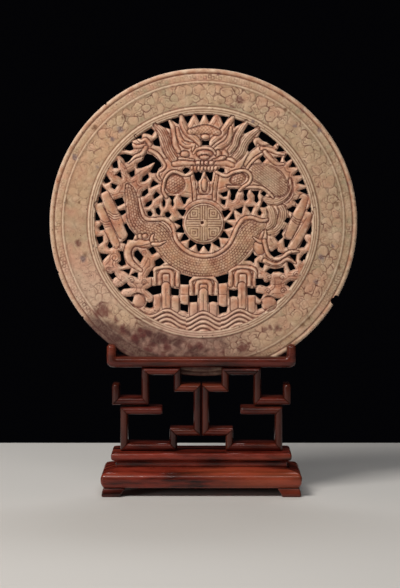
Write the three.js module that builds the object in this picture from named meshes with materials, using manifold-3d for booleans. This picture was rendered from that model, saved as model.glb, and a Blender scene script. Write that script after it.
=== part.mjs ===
// A carved soapstone bi disc, upright in its fretwork stand. Millimetres, +Z up, front towards -Y.
// The origin lies on the surface that the feet stand on, under the middle of the disc.
import * as THREE from "three";
import { mergeVertices } from "three/addons/utils/BufferGeometryUtils.js";
import Module from "manifold-3d";

const wasm = await Module();
wasm.setup();

// Disc sizes
const discDiameter = 300;
const rimThickness = 10;
const fieldThickness = 8.4;
const webThickness = 6.4;
const reliefHeight = 1.5;
const pearlHeight = 1.9;
const discSides = 54;

// Stand sizes, from the floor up
const footHeight = 8;
const footLength = 20.5;
const plinthWidth = 194;
const plinthDepth = 80;
const plinthHeight = 18.5;
const plinthSlope = 12;
const plinthTuck = 4;
const waistWidth = 166;
const waistDepth = 46;
const waistHeight = 5.5;
const plateWidth = 175;
const plateDepth = 54;
const plateHeight = 7.8;
const plateRound = 1.8;
const fretHeight = 81.5;
const fretDepth = 28;
const stickWidth = 7.3;
const stickRound = 2.2;
const railWidth = 184;
const railHeight = 10.1;
const railDepth = 32;
const railRound = 3;
const railCorner = 5;
const hornWidth = 9;
const hornRise = 12.3;
const discSeat = 19.6;
const clearance = 0.3;
const seam = 0.3;
const standAside = -2;

// Levels and centres worked out from them
const plinthBottom = footHeight + seam;
const waistBottom = plinthBottom + plinthHeight + seam;
const plateBottom = waistBottom + waistHeight + seam;
const fretBottom = plateBottom + plateHeight + seam;
const railBottom = fretBottom + fretHeight;
const railTop = railBottom + railHeight;
const discRadius = discDiameter / 2;
const discCentre = railTop - discSeat + discRadius;

const stone = () => new THREE.MeshStandardMaterial({ color: 0xb39c7c, roughness: 0.62, metalness: 0 });
const wood = () => new THREE.MeshStandardMaterial({ color: 0x45140f, roughness: 0.3, metalness: 0 });

const group = new THREE.Group();

function addPiece(name, geometry, material) {
  const mesh = new THREE.Mesh(geometry, material);
  mesh.name = name;
  group.add(mesh);
  return mesh;
}

function solidOf(geometry) {
  const bare = geometry.index ? geometry.toNonIndexed() : geometry.clone();
  bare.deleteAttribute("normal");
  bare.deleteAttribute("uv");
  const merged = mergeVertices(bare, 1e-4);
  const mesh = new wasm.Mesh({
    numProp: 3,
    vertProperties: new Float32Array(merged.attributes.position.array),
    triVerts: new Uint32Array(merged.index.array),
  });
  return new wasm.Manifold(mesh);
}

function geometryOf(solid) {
  const mesh = solid.getMesh();
  const geometry = new THREE.BufferGeometry();
  geometry.setAttribute("position", new THREE.BufferAttribute(new Float32Array(mesh.vertProperties), 3));
  geometry.setIndex(new THREE.BufferAttribute(new Uint32Array(mesh.triVerts), 1));
  geometry.computeVertexNormals();
  return geometry;
}

function extruded(shape, depth, round = 0, steps = 1, curveSegments = 4) {
  const geometry = new THREE.ExtrudeGeometry(shape, {
    depth: depth - 2 * round,
    bevelEnabled: round > 0,
    bevelSize: round,
    bevelThickness: round,
    bevelOffset: -round,
    bevelSegments: steps,
    curveSegments,
  });
  return geometry.translate(0, 0, round);
}

const shapeOf = (points) => new THREE.Shape(points.map(([x, y]) => new THREE.Vector2(x, y)));

// The disc is drawn flat, x to the right, y up and z towards the viewer, as the carving of a
// 300 mm disc, and takes its real width from the disc's own
const carvingScale = discDiameter / 300;
const webFront = webThickness / 2;
const webBack = -webThickness / 2;
const carvedFront = webFront + reliefHeight;
const polar = (radius, degrees) => {
  const angle = THREE.MathUtils.degToRad(degrees);
  return [radius * Math.cos(angle), radius * Math.sin(angle)];
};

// Ring: openwork edge, double moulding, scroll field, double line, fret band, groove and rolled rim
function ringSolid() {
  const rim = rimThickness / 2;
  const field = fieldThickness / 2;
  const front = [
    [106, field],
    [107.5, rim],
    [112, rim],
    [113.5, field],
    [135.5, field],
    [137, rim],
    [139.3, rim],
    [140.3, field],
    [144.5, field],
    [145.4, field - 1],
    [147, rim - 0.2],
    [150, rim - 2.2],
  ];
  const back = [[150, 2.2 - rim], [148.6, -rim], [106, -rim]];
  const outline = [...back.reverse(), ...front.reverse()];
  outline.push(outline[0]);
  const points = outline.map(([r, z]) => new THREE.Vector2(r * carvingScale, z));
  return solidOf(new THREE.LatheGeometry(points, discSides).rotateX(Math.PI / 2));
}

// Openwork slab that the ring holds, its edge buried in the ring
function webSolid() {
  const shape = new THREE.Shape().absarc(0, 0, 107, 0, 2 * Math.PI);
  return solidOf(extruded(shape, webThickness, 0, 1, discSides / 2).translate(0, 0, webBack));
}

// Raised carving: tapered strokes along smooth curves, domes, and arches of the same strokes
function stroke(points, widths, top = carvedFront) {
  const curve = new THREE.CatmullRomCurve3(points.map(([x, y]) => new THREE.Vector3(x, y, 0)));
  const steps = Math.max(2, Math.min(10, Math.round(curve.getLength() / 10)));
  const left = [];
  const right = [];
  for (let i = 0; i <= steps; i += 1) {
    const share = i / steps;
    const at = curve.getPointAt(share);
    const along = curve.getTangentAt(share);
    const place = share * (widths.length - 1);
    const k = Math.min(widths.length - 2, Math.floor(place));
    const half = THREE.MathUtils.lerp(widths[k], widths[k + 1], place - k) / 2;
    left.push([at.x - along.y * half, at.y + along.x * half]);
    right.unshift([at.x + along.y * half, at.y - along.x * half]);
  }
  const soft = Math.min(0.7, Math.min(...widths) / 3);
  return solidOf(extruded(shapeOf([...right, ...left].reverse()), top, soft));
}

function dome(x, y, halfWidth, halfHeight, top = carvedFront) {
  const ball = new THREE.SphereGeometry(1, 8, 4).rotateX(Math.PI / 2);
  return solidOf(ball.scale(halfWidth, halfHeight, top).translate(x, y, 0));
}

const mirrored = (points) => points.map(([x, y]) => [-x, y]);

// Dragon's head: wavy mane locks, forehead, brows, cheeks, nose, jaw, tongue and whiskers
function head() {
  const parts = [dome(1, 86, 16, 7), dome(1, 67, 6, 7), dome(1, 36, 3, 7)];
  for (const side of [-1, 1]) {
    parts.push(dome(side * 17, 76, 8, 5), dome(side * 18, 66, 7, 5), dome(side * 7, 67, 4, 3));
    parts.push(stroke([[side * 11, 47], [side * 10, 36], [side * 7, 25]], [3.5, 4, 5]));
    parts.push(dome(side * 31, 40, 9, 9));
  }
  parts.push(stroke([[-8, 25], [2, 24.5], [11, 25]], [5, 6, 5]));
  parts.push(stroke([[-18, 60], [0, 57], [18, 60]], [5, 4, 5]));
  for (let lock = 0; lock < 8; lock += 1) {
    const spread = (lock - 3.5) / 3.5;
    const tip = [1 + 46 * spread, 104 - 11 * spread ** 2];
    const middle = [1 + 34 * spread, 92 - 8 * spread ** 2];
    const root = [1 + 26 * spread, 80 - 16 * spread ** 2];
    parts.push(stroke([root, middle, tip], [6, 8, 5]));
  }
  return parts;
}

// Dragon's body: one long scaled band under the pearl, rising on both sides
function body() {
  const coil = [];
  for (let degrees = 205; degrees <= 335; degrees += 26) {
    coil.push(polar(42, degrees));
  }
  return [
    stroke([[-74, 36], [-69, 18], [-62, 2], [-50, -9], ...coil.slice(1)], [12, 13, 15, 19, 19, 19, 17]),
    stroke([[45, 45], [60, 46], [72, 38], [77, 26], [71, 8], [58, -8]], [16, 19, 19, 18, 17]),
  ];
}

// Legs and claws, a flame tuft at the tail and ribbons by the right leg
function limbs() {
  return [
    stroke([[-36, 66], [-47, 72], [-60, 74]], [8, 7, 5]),
    stroke([[-58, 74], [-66, 78], [-72, 76]], [4, 3.5, 2]),
    stroke([[-58, 72], [-68, 68], [-75, 60]], [4, 3.5, 2]),
    stroke([[45, 60], [54, 68], [62, 73]], [8, 7, 4]),
    stroke([[58, 71], [68, 74], [80, 68]], [4, 3.5, 2]),
    stroke([[-45, -19], [-58, -21], [-71, -24], [-71, -40], [-64, -48]], [8, 8, 7, 6, 3]),
    stroke([[58, -6], [60, -20], [66, -36], [80, -36], [90, -27]], [8, 7, 6, 5, 3]),
    stroke([[-72, 40], [-80, 50], [-83, 64]], [10, 7, 2]),
    stroke([[-70, 42], [-62, 52], [-47, 60]], [9, 6, 2]),
    stroke([[-72, 42], [-86, 45], [-96, 50]], [8, 5, 2]),
    dome(-44, -14, 6, 6),
    dome(56, -12, 6, 6),
  ];
}

// Tied scrolls at both sides, each a pair of rolls, and cloud curls under them
function scrolls() {
  const parts = [];
  for (const across of [0, 8]) {
    const roll = [[-95 + across, 27 - across / 2], [-93 + across, 5], [-84 + across, -14]];
    parts.push(stroke(roll, [6, 7.4, 6.5]));
    const twin = [[98 - across, 18 - across / 2], [97 - across, 0], [90 - across, -20]];
    parts.push(stroke(twin, [6, 7.4, 6.5]));
  }
  const cloud = [[-70, -56], [-82, -52], [-91, -44], [-93, -34], [-86, -29], [-82, -36]];
  parts.push(stroke(cloud, [9, 7, 6, 5, 5, 3]));
  parts.push(stroke(mirrored(cloud), [9, 7, 6, 5, 5, 3]));
  parts.push(dome(-64, -76, 7, 7), dome(64, -79, 7, 7));
  return parts;
}

// Rocks: three arched caps on pillars, with square columns between them
function rocks() {
  const parts = [stroke([[0, -88], [0, -78], [0, -69]], [10, 9, 9])];
  const caps = [[-37, -52, 12], [38, -53, 12], [0, -62, 14]];
  for (const [x, y, half] of caps) {
    const arch = [[x - half, y - 8], [x - half * 0.6, y + 4], [x, y + 7], [x + half * 0.6, y + 4], [x + half, y - 8]];
    parts.push(stroke(arch, [5, 6, 7, 6, 5]));
    parts.push(dome(x, y - 1, half * 0.5, 5));
  }
  for (const side of [-1, 1]) {
    parts.push(stroke([[side * 37, -60], [side * 37, -70], [side * 37, -82]], [8, 8, 8]));
    parts.push(stroke([[side * 19, -61], [side * 19, -70], [side * 19, -80]], [8, 8, 8]));
    parts.push(stroke([[side * 46, -72], [side * 46, -78], [side * 46, -86]], [6, 6, 6]));
  }
  return parts;
}

// Waves: stacked ridges that rise and fall across the foot of the openwork
function waves() {
  const parts = [];
  for (let row = 0; row < 3; row += 1) {
    const reach = [50, 42, 26][row];
    const points = [];
    for (let i = 0; i <= 12; i += 1) {
      const x = reach * (i / 6 - 1);
      points.push([x, -89.5 - 5 * row + 2 * Math.cos((x / 35) * 2 * Math.PI)]);
    }
    parts.push(stroke(points, [2.4, 2.4]));
  }
  return parts;
}

// Pearl with a raised rim in the middle of the disc
function pearl() {
  const rim = webFront + pearlHeight;
  const outline = [[0, 0], [19.3, 0], [19.3, rim - 0.8], [18.6, rim], [17.4, rim], [16.6, rim - 0.7], [0, rim - 0.4]];
  const points = outline.map(([r, z]) => new THREE.Vector2(r, z));
  return [solidOf(new THREE.LatheGeometry(points, 20).rotateX(Math.PI / 2))];
}

// Piercings: a kite whose tip points along turn, a tooth with a flat back, or a block.
// Each row is x, y, length, width, turn.
const cutDepth = 2 * rimThickness;
function cutter(outline, x, y, turn) {
  const angle = THREE.MathUtils.degToRad(turn);
  const shape = shapeOf(outline);
  return solidOf(extruded(shape, cutDepth).translate(0, 0, -cutDepth / 2).rotateZ(angle).translate(x, y, 0));
}
const tooth = ([x, y, l, w, turn]) => cutter([[-l / 2, -w / 2], [l / 2, 0], [-l / 2, w / 2]], x, y, turn);
const kite = ([x, y, l, w, turn]) => cutter([[-l / 2, 0], [-l * 0.1, -w / 2], [l / 2, 0], [-l * 0.1, w / 2]], x, y, turn);
const block = ([x, y, l, w, turn]) => cutter([[-l / 2, -w / 2], [l / 2, -w / 2], [l / 2, w / 2], [-l / 2, w / 2]], x, y, turn);

// Teeth in a row along the ring's inner edge, tips towards the middle
function teethAlong(first, last, count, length, width) {
  const teeth = [];
  for (let i = 0; i < count; i += 1) {
    const degrees = first + ((last - first) * i) / (count - 1);
    teeth.push(tooth([...polar(104.5 - length / 2, degrees), length, width, degrees + 180]));
  }
  return teeth;
}

function pearlRing() {
  const openings = [];
  for (let i = 0; i < 11; i += 1) {
    const degrees = 153 + 21.1 * i;
    openings.push(tooth([...polar(24.6, degrees), 7.5, 6, degrees]));
  }
  return openings;
}

const upperKites = [
  [-58, 86, 22, 7, 30],
  [64, 80, 20, 8, -40],
  [2, 78, 8, 6, 0],
  [47, 75, 12, 7, 75],
  [57.5, 62, 7, 7, 90],
  [73.5, 62, 7, 6, -70],
  [-46, 78.5, 10, 7, 80],
  [-55, 61, 15, 9, -60],
  [-46, 55, 10, 8, -60],
  [-17, 50, 8, 6, -40],
  [17, 51, 8, 5, -140],
  [-74, 74, 10, 7, 30],
  [-76, 65, 13, 6, -20],
  [-86, 57, 8, 5, -60],
];
const upperTeeth = [
  [-5, 45, 10.5, 9, -90],
  [6.5, 45, 10, 8, -90],
];
const leftKites = [
  [-94, 41, 8, 7, 0],
  [-86.5, 35.5, 8, 5, -60],
  [-81.5, 47, 7, 6, 90],
  [-70, 48, 8, 5.5, -60],
  [-57.5, 43.5, 9, 5, 50],
  [-47.5, 37.5, 8, 7, 0],
  [-57.5, 29, 8, 6, 50],
  [-45.5, 27, 8, 6, -90],
  [-53.5, 18, 9, 6, 40],
  [-38.5, 19, 9, 4, 90],
  [-30, 21.5, 11, 6, -100],
  [-18.5, 22, 8, 8, -90],
  [-52, 8.6, 6, 5.5, 0],
  [-44, 11, 9, 5, 120],
  [-34.3, 7.7, 7, 6, 50],
  [-82, 20, 10, 10, 40],
  [-79, 9.5, 8, 6, 0],
];
const rightKites = [
  [19.5, 28.5, 7, 6, 30],
  [20, 20, 7, 5, -90],
  [59, 28, 7, 7, 90],
  [59, 18, 7, 6, -70],
  [22, 9.5, 7, 6, -60],
  [28.5, 5.5, 8, 6.5, -45],
  [36, 12, 8, 6, -70],
  [46, 12.5, 8, 6.5, -90],
  [55, 9.5, 6, 4, 90],
  [92.5, 21.5, 7, 6, -90],
  [86.7, 13, 8, 6, -110],
  [82, 2.2, 6, 5, -110],
];
const lowerKites = [
  [-76, -7, 14, 5, -60],
  [-74, -18.5, 8, 5, 170],
  [-101, -17, 9, 7, -90],
  [-91.5, -22, 8, 6, -80],
  [-98, -33, 10, 9, -90],
  [-80, -35, 15, 6, -90],
  [-63, -33, 13, 6, -60],
  [-74.5, -47.5, 9, 6, -60],
  [-66, -51, 8, 6, -120],
  [-88.5, -52, 9, 8, 0],
  [-51.5, -51, 8, 7, -120],
  [-50, -27.5, 9, 8, -30],
  [-43, -39, 10, 8, -60],
  [-17, -56.5, 13, 9, 160],
  [-78, -63.5, 14, 6, 10],
  [-71, -74, 9, 7, -80],
  [-48, -67, 15, 8, 170],
  [-52.5, -80, 8, 7, -90],
  [75.5, -12, 13, 6, -70],
  [81.5, -20, 9, 7, -80],
  [71, -29.5, 14, 7, 170],
  [98, -20, 10, 8, -60],
  [99, -33, 10, 6, -60],
  [87.5, -33.5, 9, 7, -80],
  [86, -43.5, 10, 8, -100],
  [48, -34.5, 13, 10, -60],
  [57.5, -41, 8, 6, -70],
  [71, -46.5, 17, 5, 0],
  [58, -59, 15, 6, 10],
  [86, -59.5, 9, 5, 0],
  [17, -56.5, 13, 9, 20],
  [50.5, -69.5, 15, 9, 0],
  [54.5, -82, 7, 5, -90],
  [73, -76.5, 7, 6, -80],
];
const leftEdge = [
  [-97.5, 31.5, 8, 6, -110],
  [-101, 21.5, 8, 5.5, -110],
  [-103, 6.5, 9, 4, -90],
  [-99.3, -5, 7, 6, -100],
];

// Keyhole openings under the right eye, and square ones between the rocks
function keyholesAndBlocks() {
  const openings = [];
  for (const [x, y] of [[29.5, 28], [41.2, 27.5], [51.5, 26]]) {
    openings.push(kite([x, y, 11, 7, -90]));
  }
  for (const side of [-1, 1]) {
    openings.push(block([side * 28.5, -68.5, 8.5, 7.5, -85 * side]));
    openings.push(block([side * 9.6, -74.5, 8.5, 7.5, 90]));
    openings.push(block([side * 18.8, -84.5, 8, 7.5, -82 * side]));
  }
  return openings;
}

function piercings() {
  const crown = teethAlong(112.5, 64.5, 8, 7.5, 8.6);
  const rightTeeth = teethAlong(43.4, 17, 6, 7, 6.6);
  const lowRight = [tooth([104, 12.5, 7.5, 6, 120]), tooth([104, -5.5, 9, 6, 165])];
  const kites = [...upperKites, ...leftKites, ...rightKites, ...lowerKites, ...leftEdge].map(kite);
  const loose = [...upperTeeth.map(tooth), ...lowRight];
  return [...crown, ...rightTeeth, ...kites, ...loose, ...pearlRing(), ...keyholesAndBlocks()];
}

function discGeometry() {
  const carving = [...head(), ...body(), ...limbs(), ...scrolls(), ...rocks(), ...waves(), ...pearl()];
  const inside = solidOf(extruded(new THREE.Shape().absarc(0, 0, 106.6, 0, 2 * Math.PI), cutDepth, 0, 1, 24));
  const raised = wasm.Manifold.union(carving).intersect(inside);
  const openwork = webSolid().add(raised).subtract(wasm.Manifold.union(piercings()));
  const scaled = openwork.scale([carvingScale, carvingScale, 1]);
  const whole = scaled.add(ringSolid());
  const chip = cutter([[-2.2, -3], [4, -3], [4, 3], [-2.2, 3]], ...polar(discRadius, -30.7), -30.7);
  const kept = whole.subtract(chip).decompose().sort((a, b) => b.volume() - a.volume())[0];
  return geometryOf(kept).rotateX(Math.PI / 2);
}

addPiece("bi_disc", discGeometry(), stone()).position.set(0, 0, discCentre);

// Cylinder across the disc's thickness with clearance all round: the seat cut in rail and sticks
function discSeatSolid() {
  const seat = new THREE.CylinderGeometry(
    discRadius + clearance,
    discRadius + clearance,
    rimThickness + 2 * clearance,
    2 * discSides,
  );
  return solidOf(seat.translate(-standAside, 0, discCentre));
}

const stand = new THREE.Group();
stand.position.x = standAside;
group.add(stand);

function addWood(name, geometry) {
  const mesh = addPiece(name, geometry, wood());
  stand.add(mesh);
  return mesh;
}

// Rail: a rounded bar with upturned horns at its ends
function railGeometry() {
  const half = railWidth / 2;
  const fillet = 2;
  const shape = new THREE.Shape();
  shape.absarc(half - railCorner, railBottom + railCorner, railCorner, -Math.PI / 2, 0);
  shape.lineTo(half, railTop + hornRise);
  shape.lineTo(half - hornWidth, railTop + hornRise);
  shape.lineTo(half - hornWidth, railTop + fillet);
  shape.absarc(half - hornWidth - fillet, railTop + fillet, fillet, 0, -Math.PI / 2, true);
  shape.lineTo(hornWidth + fillet - half, railTop);
  shape.absarc(hornWidth + fillet - half, railTop + fillet, fillet, -Math.PI / 2, -Math.PI, true);
  shape.lineTo(hornWidth - half, railTop + hornRise);
  shape.lineTo(-half, railTop + hornRise);
  shape.absarc(railCorner - half, railBottom + railCorner, railCorner, Math.PI, 1.5 * Math.PI);
  const bar = extruded(shape, railDepth, railRound, 2).rotateX(Math.PI / 2).translate(0, railDepth / 2, 0);
  return geometryOf(solidOf(bar).subtract(discSeatSolid()));
}
addWood("rail", railGeometry());

// Fretwork: one running line of mitred sticks on each side, from the hook down to the tongue
const pairGap = 0.6;
const hookX = 83.4;
const riserX = 54.6;
const dropX = 23.2;
const stepX = 27.3;
const outerPostX = 75.2;
const tongueX = 38;
const hookTop = 64.6;
const shelfLevel = 48.4;
const innerBarLevel = 61.1;
const innerFootLevel = 18.2;
const tongueLevel = 39.1;
const postX = pairGap / 2 + stickWidth / 2;
const topLevel = fretHeight - clearance - stickWidth / 2;
const footLevel = stickWidth / 2;
const fretLine = [
  [hookX, hookTop],
  [hookX, shelfLevel],
  [riserX, shelfLevel],
  [riserX, topLevel],
  [dropX, topLevel],
  [dropX, innerBarLevel],
  [postX, innerBarLevel],
  [postX, innerFootLevel],
  [stepX, innerFootLevel],
  [stepX, footLevel],
  [outerPostX, footLevel],
  [outerPostX, tongueLevel],
  [tongueX, tongueLevel],
];
const stickNames = [
  "hook", "shelf", "riser", "top_bar", "drop", "inner_bar",
  "post", "inner_foot", "step", "foot_bar", "outer_post", "tongue",
];

function stickSection() {
  const w = stickWidth / 2 - stickRound;
  const d = fretDepth / 2 - stickRound;
  const shape = new THREE.Shape();
  shape.absarc(w, d, stickRound, 0, Math.PI / 2);
  shape.absarc(-w, d, stickRound, Math.PI / 2, Math.PI);
  shape.absarc(-w, -d, stickRound, Math.PI, 1.5 * Math.PI);
  shape.absarc(w, -d, stickRound, 1.5 * Math.PI, 2 * Math.PI);
  return shape;
}

// A stick runs from one corner of the line to the next, its mitred ends slanting across its width
function stickGeometry(line, index) {
  const from = new THREE.Vector2(...line[index]);
  const to = new THREE.Vector2(...line[index + 1]);
  const along = to.clone().sub(from).normalize();
  const across = new THREE.Vector2(-along.y, along.x);
  const slant = (corner, sign) => {
    const before = line[corner - 1];
    const after = line[corner + 1];
    if (!before || !after) return { lean: 0, back: 0 };
    const other = sign < 0 ? new THREE.Vector2(...before) : new THREE.Vector2(...after);
    const towards = other.sub(new THREE.Vector2(...line[corner])).dot(across);
    return { lean: -Math.sign(towards) * sign, back: (clearance / Math.SQRT2) * sign };
  };
  const start = slant(index, -1);
  const end = slant(index + 1, 1);
  const length = from.distanceTo(to);
  const bar = new THREE.ExtrudeGeometry(stickSection(), { depth: length, bevelEnabled: false, curveSegments: 1 });
  const place = bar.attributes.position;
  for (let i = 0; i < place.count; i += 1) {
    const u = place.getX(i);
    const isStart = place.getZ(i) < length / 2;
    const cut = isStart ? start : end;
    const run = (isStart ? 0 : length) - cut.back + u * cut.lean;
    const x = from.x + along.x * run + across.x * u;
    const z = from.y + along.y * run + across.y * u;
    place.setXYZ(i, x, -place.getY(i), z + fretBottom);
  }
  return solidOf(bar);
}

for (const side of ["left", "right"]) {
  const sign = side === "left" ? -1 : 1;
  const line = fretLine.map(([x, z]) => [sign * x, z]);
  stickNames.forEach((name, index) => {
    addWood(`fret_${side}_${name}`, geometryOf(stickGeometry(line, index).subtract(discSeatSolid())));
  });
}

// Base: board, recessed waist, moulded plinth and bracket feet. A slab's profile runs from its
// underside to its top as pairs of inset and level.
function slab(width, depth, bottom, profile) {
  const corner = 2;
  const ring = [];
  for (let quarter = 0; quarter < 4; quarter += 1) {
    for (const turn of [0, 45, 90]) {
      ring.push([quarter, ...polar(corner, 90 * quarter + turn)]);
    }
  }
  const signs = [[1, 1], [-1, 1], [-1, -1], [1, -1]];
  const corners = profile.map(([inset, level]) => ring.map(([quarter, x, y]) => [
    signs[quarter][0] * (width / 2 - corner - inset) + x,
    signs[quarter][1] * (depth / 2 - corner - inset) + y,
    bottom + level,
  ]));
  const index = [];
  const count = ring.length;
  for (let level = 0; level < corners.length - 1; level += 1) {
    for (let i = 0; i < count; i += 1) {
      const here = level * count + i;
      const next = level * count + ((i + 1) % count);
      index.push(here, next, next + count, here, next + count, here + count);
    }
  }
  const last = (corners.length - 1) * count;
  for (let i = 1; i < count - 1; i += 1) {
    index.push(0, i + 1, i, last, last + i, last + i + 1);
  }
  const geometry = new THREE.BufferGeometry();
  geometry.setAttribute("position", new THREE.Float32BufferAttribute(corners.flat(2), 3));
  geometry.setIndex(index);
  geometry.computeVertexNormals();
  return geometry;
}

const rounded = (height, round) => [[round, 0], [0, round], [0, height - round], [round, height]];

// The plinth's side: a quarter round tucked in below the nose, and a long round slope above it
function plinthProfile() {
  const nose = plinthHeight * 0.46;
  const profile = [];
  for (const degrees of [0, 30, 60]) {
    const [rise, tuck] = polar(1, degrees);
    profile.push([plinthTuck * rise, nose * tuck]);
  }
  for (const degrees of [0, 22, 44, 66, 90]) {
    const [out, rise] = polar(1, degrees);
    profile.push([plinthSlope * (1 - out), nose + (plinthHeight - nose) * rise]);
  }
  return profile;
}

addWood("base_plate", slab(plateWidth, plateDepth, plateBottom, rounded(plateHeight, plateRound)));
addWood("waist", slab(waistWidth, waistDepth, waistBottom, [[0, 0], [0, waistHeight]]));
addWood("plinth", slab(plinthWidth, plinthDepth, plinthBottom, plinthProfile()));

// A foot's profile, seen from one side: upright outside, a pointed toe inwards along the ground
function footProfile(reach) {
  const points = [[0, 0], [0.76, 0], [1, 0.5], [0.58, 0.62], [0.4, 1], [0, 1]];
  return shapeOf(points.map(([x, z]) => [x * reach, z * footHeight]));
}

function footGeometry() {
  const front = extruded(footProfile(footLength), 2 * footLength).rotateX(Math.PI / 2).translate(0, footLength, 0);
  const flank = extruded(footProfile(footLength), 2 * footLength).rotateX(Math.PI / 2).rotateZ(Math.PI / 2);
  return geometryOf(solidOf(front).intersect(solidOf(flank)));
}

const footInset = 1;
for (const [end, x] of [["left", -1], ["right", 1]]) {
  for (const [face, y] of [["front", -1], ["back", 1]]) {
    const solid = solidOf(footGeometry());
    const turned = solid.scale([-x, -y, 1]);
    const foot = addWood(`foot_${face}_${end}`, geometryOf(turned));
    foot.position.set(x * (plinthWidth / 2 - footInset), y * (plinthDepth / 2 - footInset), 0);
  }
}

export default group;
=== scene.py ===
import math

import bmesh
import bpy
import numpy as np
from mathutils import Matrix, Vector


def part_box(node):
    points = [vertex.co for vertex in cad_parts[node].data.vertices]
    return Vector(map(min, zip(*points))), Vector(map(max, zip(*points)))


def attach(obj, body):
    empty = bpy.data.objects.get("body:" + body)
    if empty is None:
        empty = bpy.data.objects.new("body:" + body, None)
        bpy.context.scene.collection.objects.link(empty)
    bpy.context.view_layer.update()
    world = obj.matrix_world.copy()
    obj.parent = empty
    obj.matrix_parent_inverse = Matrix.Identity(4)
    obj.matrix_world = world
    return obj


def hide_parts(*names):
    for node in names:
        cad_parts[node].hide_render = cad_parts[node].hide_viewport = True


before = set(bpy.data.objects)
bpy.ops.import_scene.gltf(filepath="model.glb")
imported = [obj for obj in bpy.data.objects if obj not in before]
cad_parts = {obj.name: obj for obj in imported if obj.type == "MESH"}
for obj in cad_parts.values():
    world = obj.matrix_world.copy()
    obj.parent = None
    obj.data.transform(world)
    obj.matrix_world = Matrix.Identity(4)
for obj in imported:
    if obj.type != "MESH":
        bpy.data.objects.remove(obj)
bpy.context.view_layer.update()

# The photograph's frame, and where the disc's centre lies in it
PHOTO_WIDTH = 400
PHOTO_HEIGHT = 588
DISC_CENTRE_PX = (203.4, 222.5)
MM_PER_PX = 0.9766

MM = 0.001
DISC_RADIUS = 150.0
DISC_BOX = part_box("bi_disc")
DISC_LEVEL = DISC_BOX[1][2] - DISC_RADIUS * MM


# Camera

CAMERA_DISTANCE = 1.9
CAMERA_HEIGHT = 0.325
SENSOR_HEIGHT = 36


def link_object(name, data):
    made = bpy.data.objects.new(name, data)
    bpy.context.scene.collection.objects.link(made)
    return made


def make_camera():
    data = bpy.data.cameras.new("camera")
    camera = link_object("camera", data)
    camera.location = (0.0, -CAMERA_DISTANCE, CAMERA_HEIGHT)
    aim = Vector((0.0, 0.0, DISC_LEVEL)) - camera.location
    camera.rotation_euler = aim.to_track_quat("-Z", "Y").to_euler()
    data.sensor_fit = "VERTICAL"
    data.sensor_height = SENSOR_HEIGHT
    data.lens = SENSOR_HEIGHT * aim.length / (PHOTO_HEIGHT * MM_PER_PX * MM)
    data.shift_x = (PHOTO_WIDTH / 2 - DISC_CENTRE_PX[0]) / PHOTO_HEIGHT
    data.shift_y = (DISC_CENTRE_PX[1] - PHOTO_HEIGHT / 2) / PHOTO_HEIGHT
    bpy.context.scene.camera = camera


make_camera()


# Piercings of the openwork, in millimetres from the disc's centre, x to the right and y up.
# Each row is one hole's corners: crown, right teeth, upper part, left, right, lower left and lower right.
# A line that ends with a comma goes on in the next one.

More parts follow.
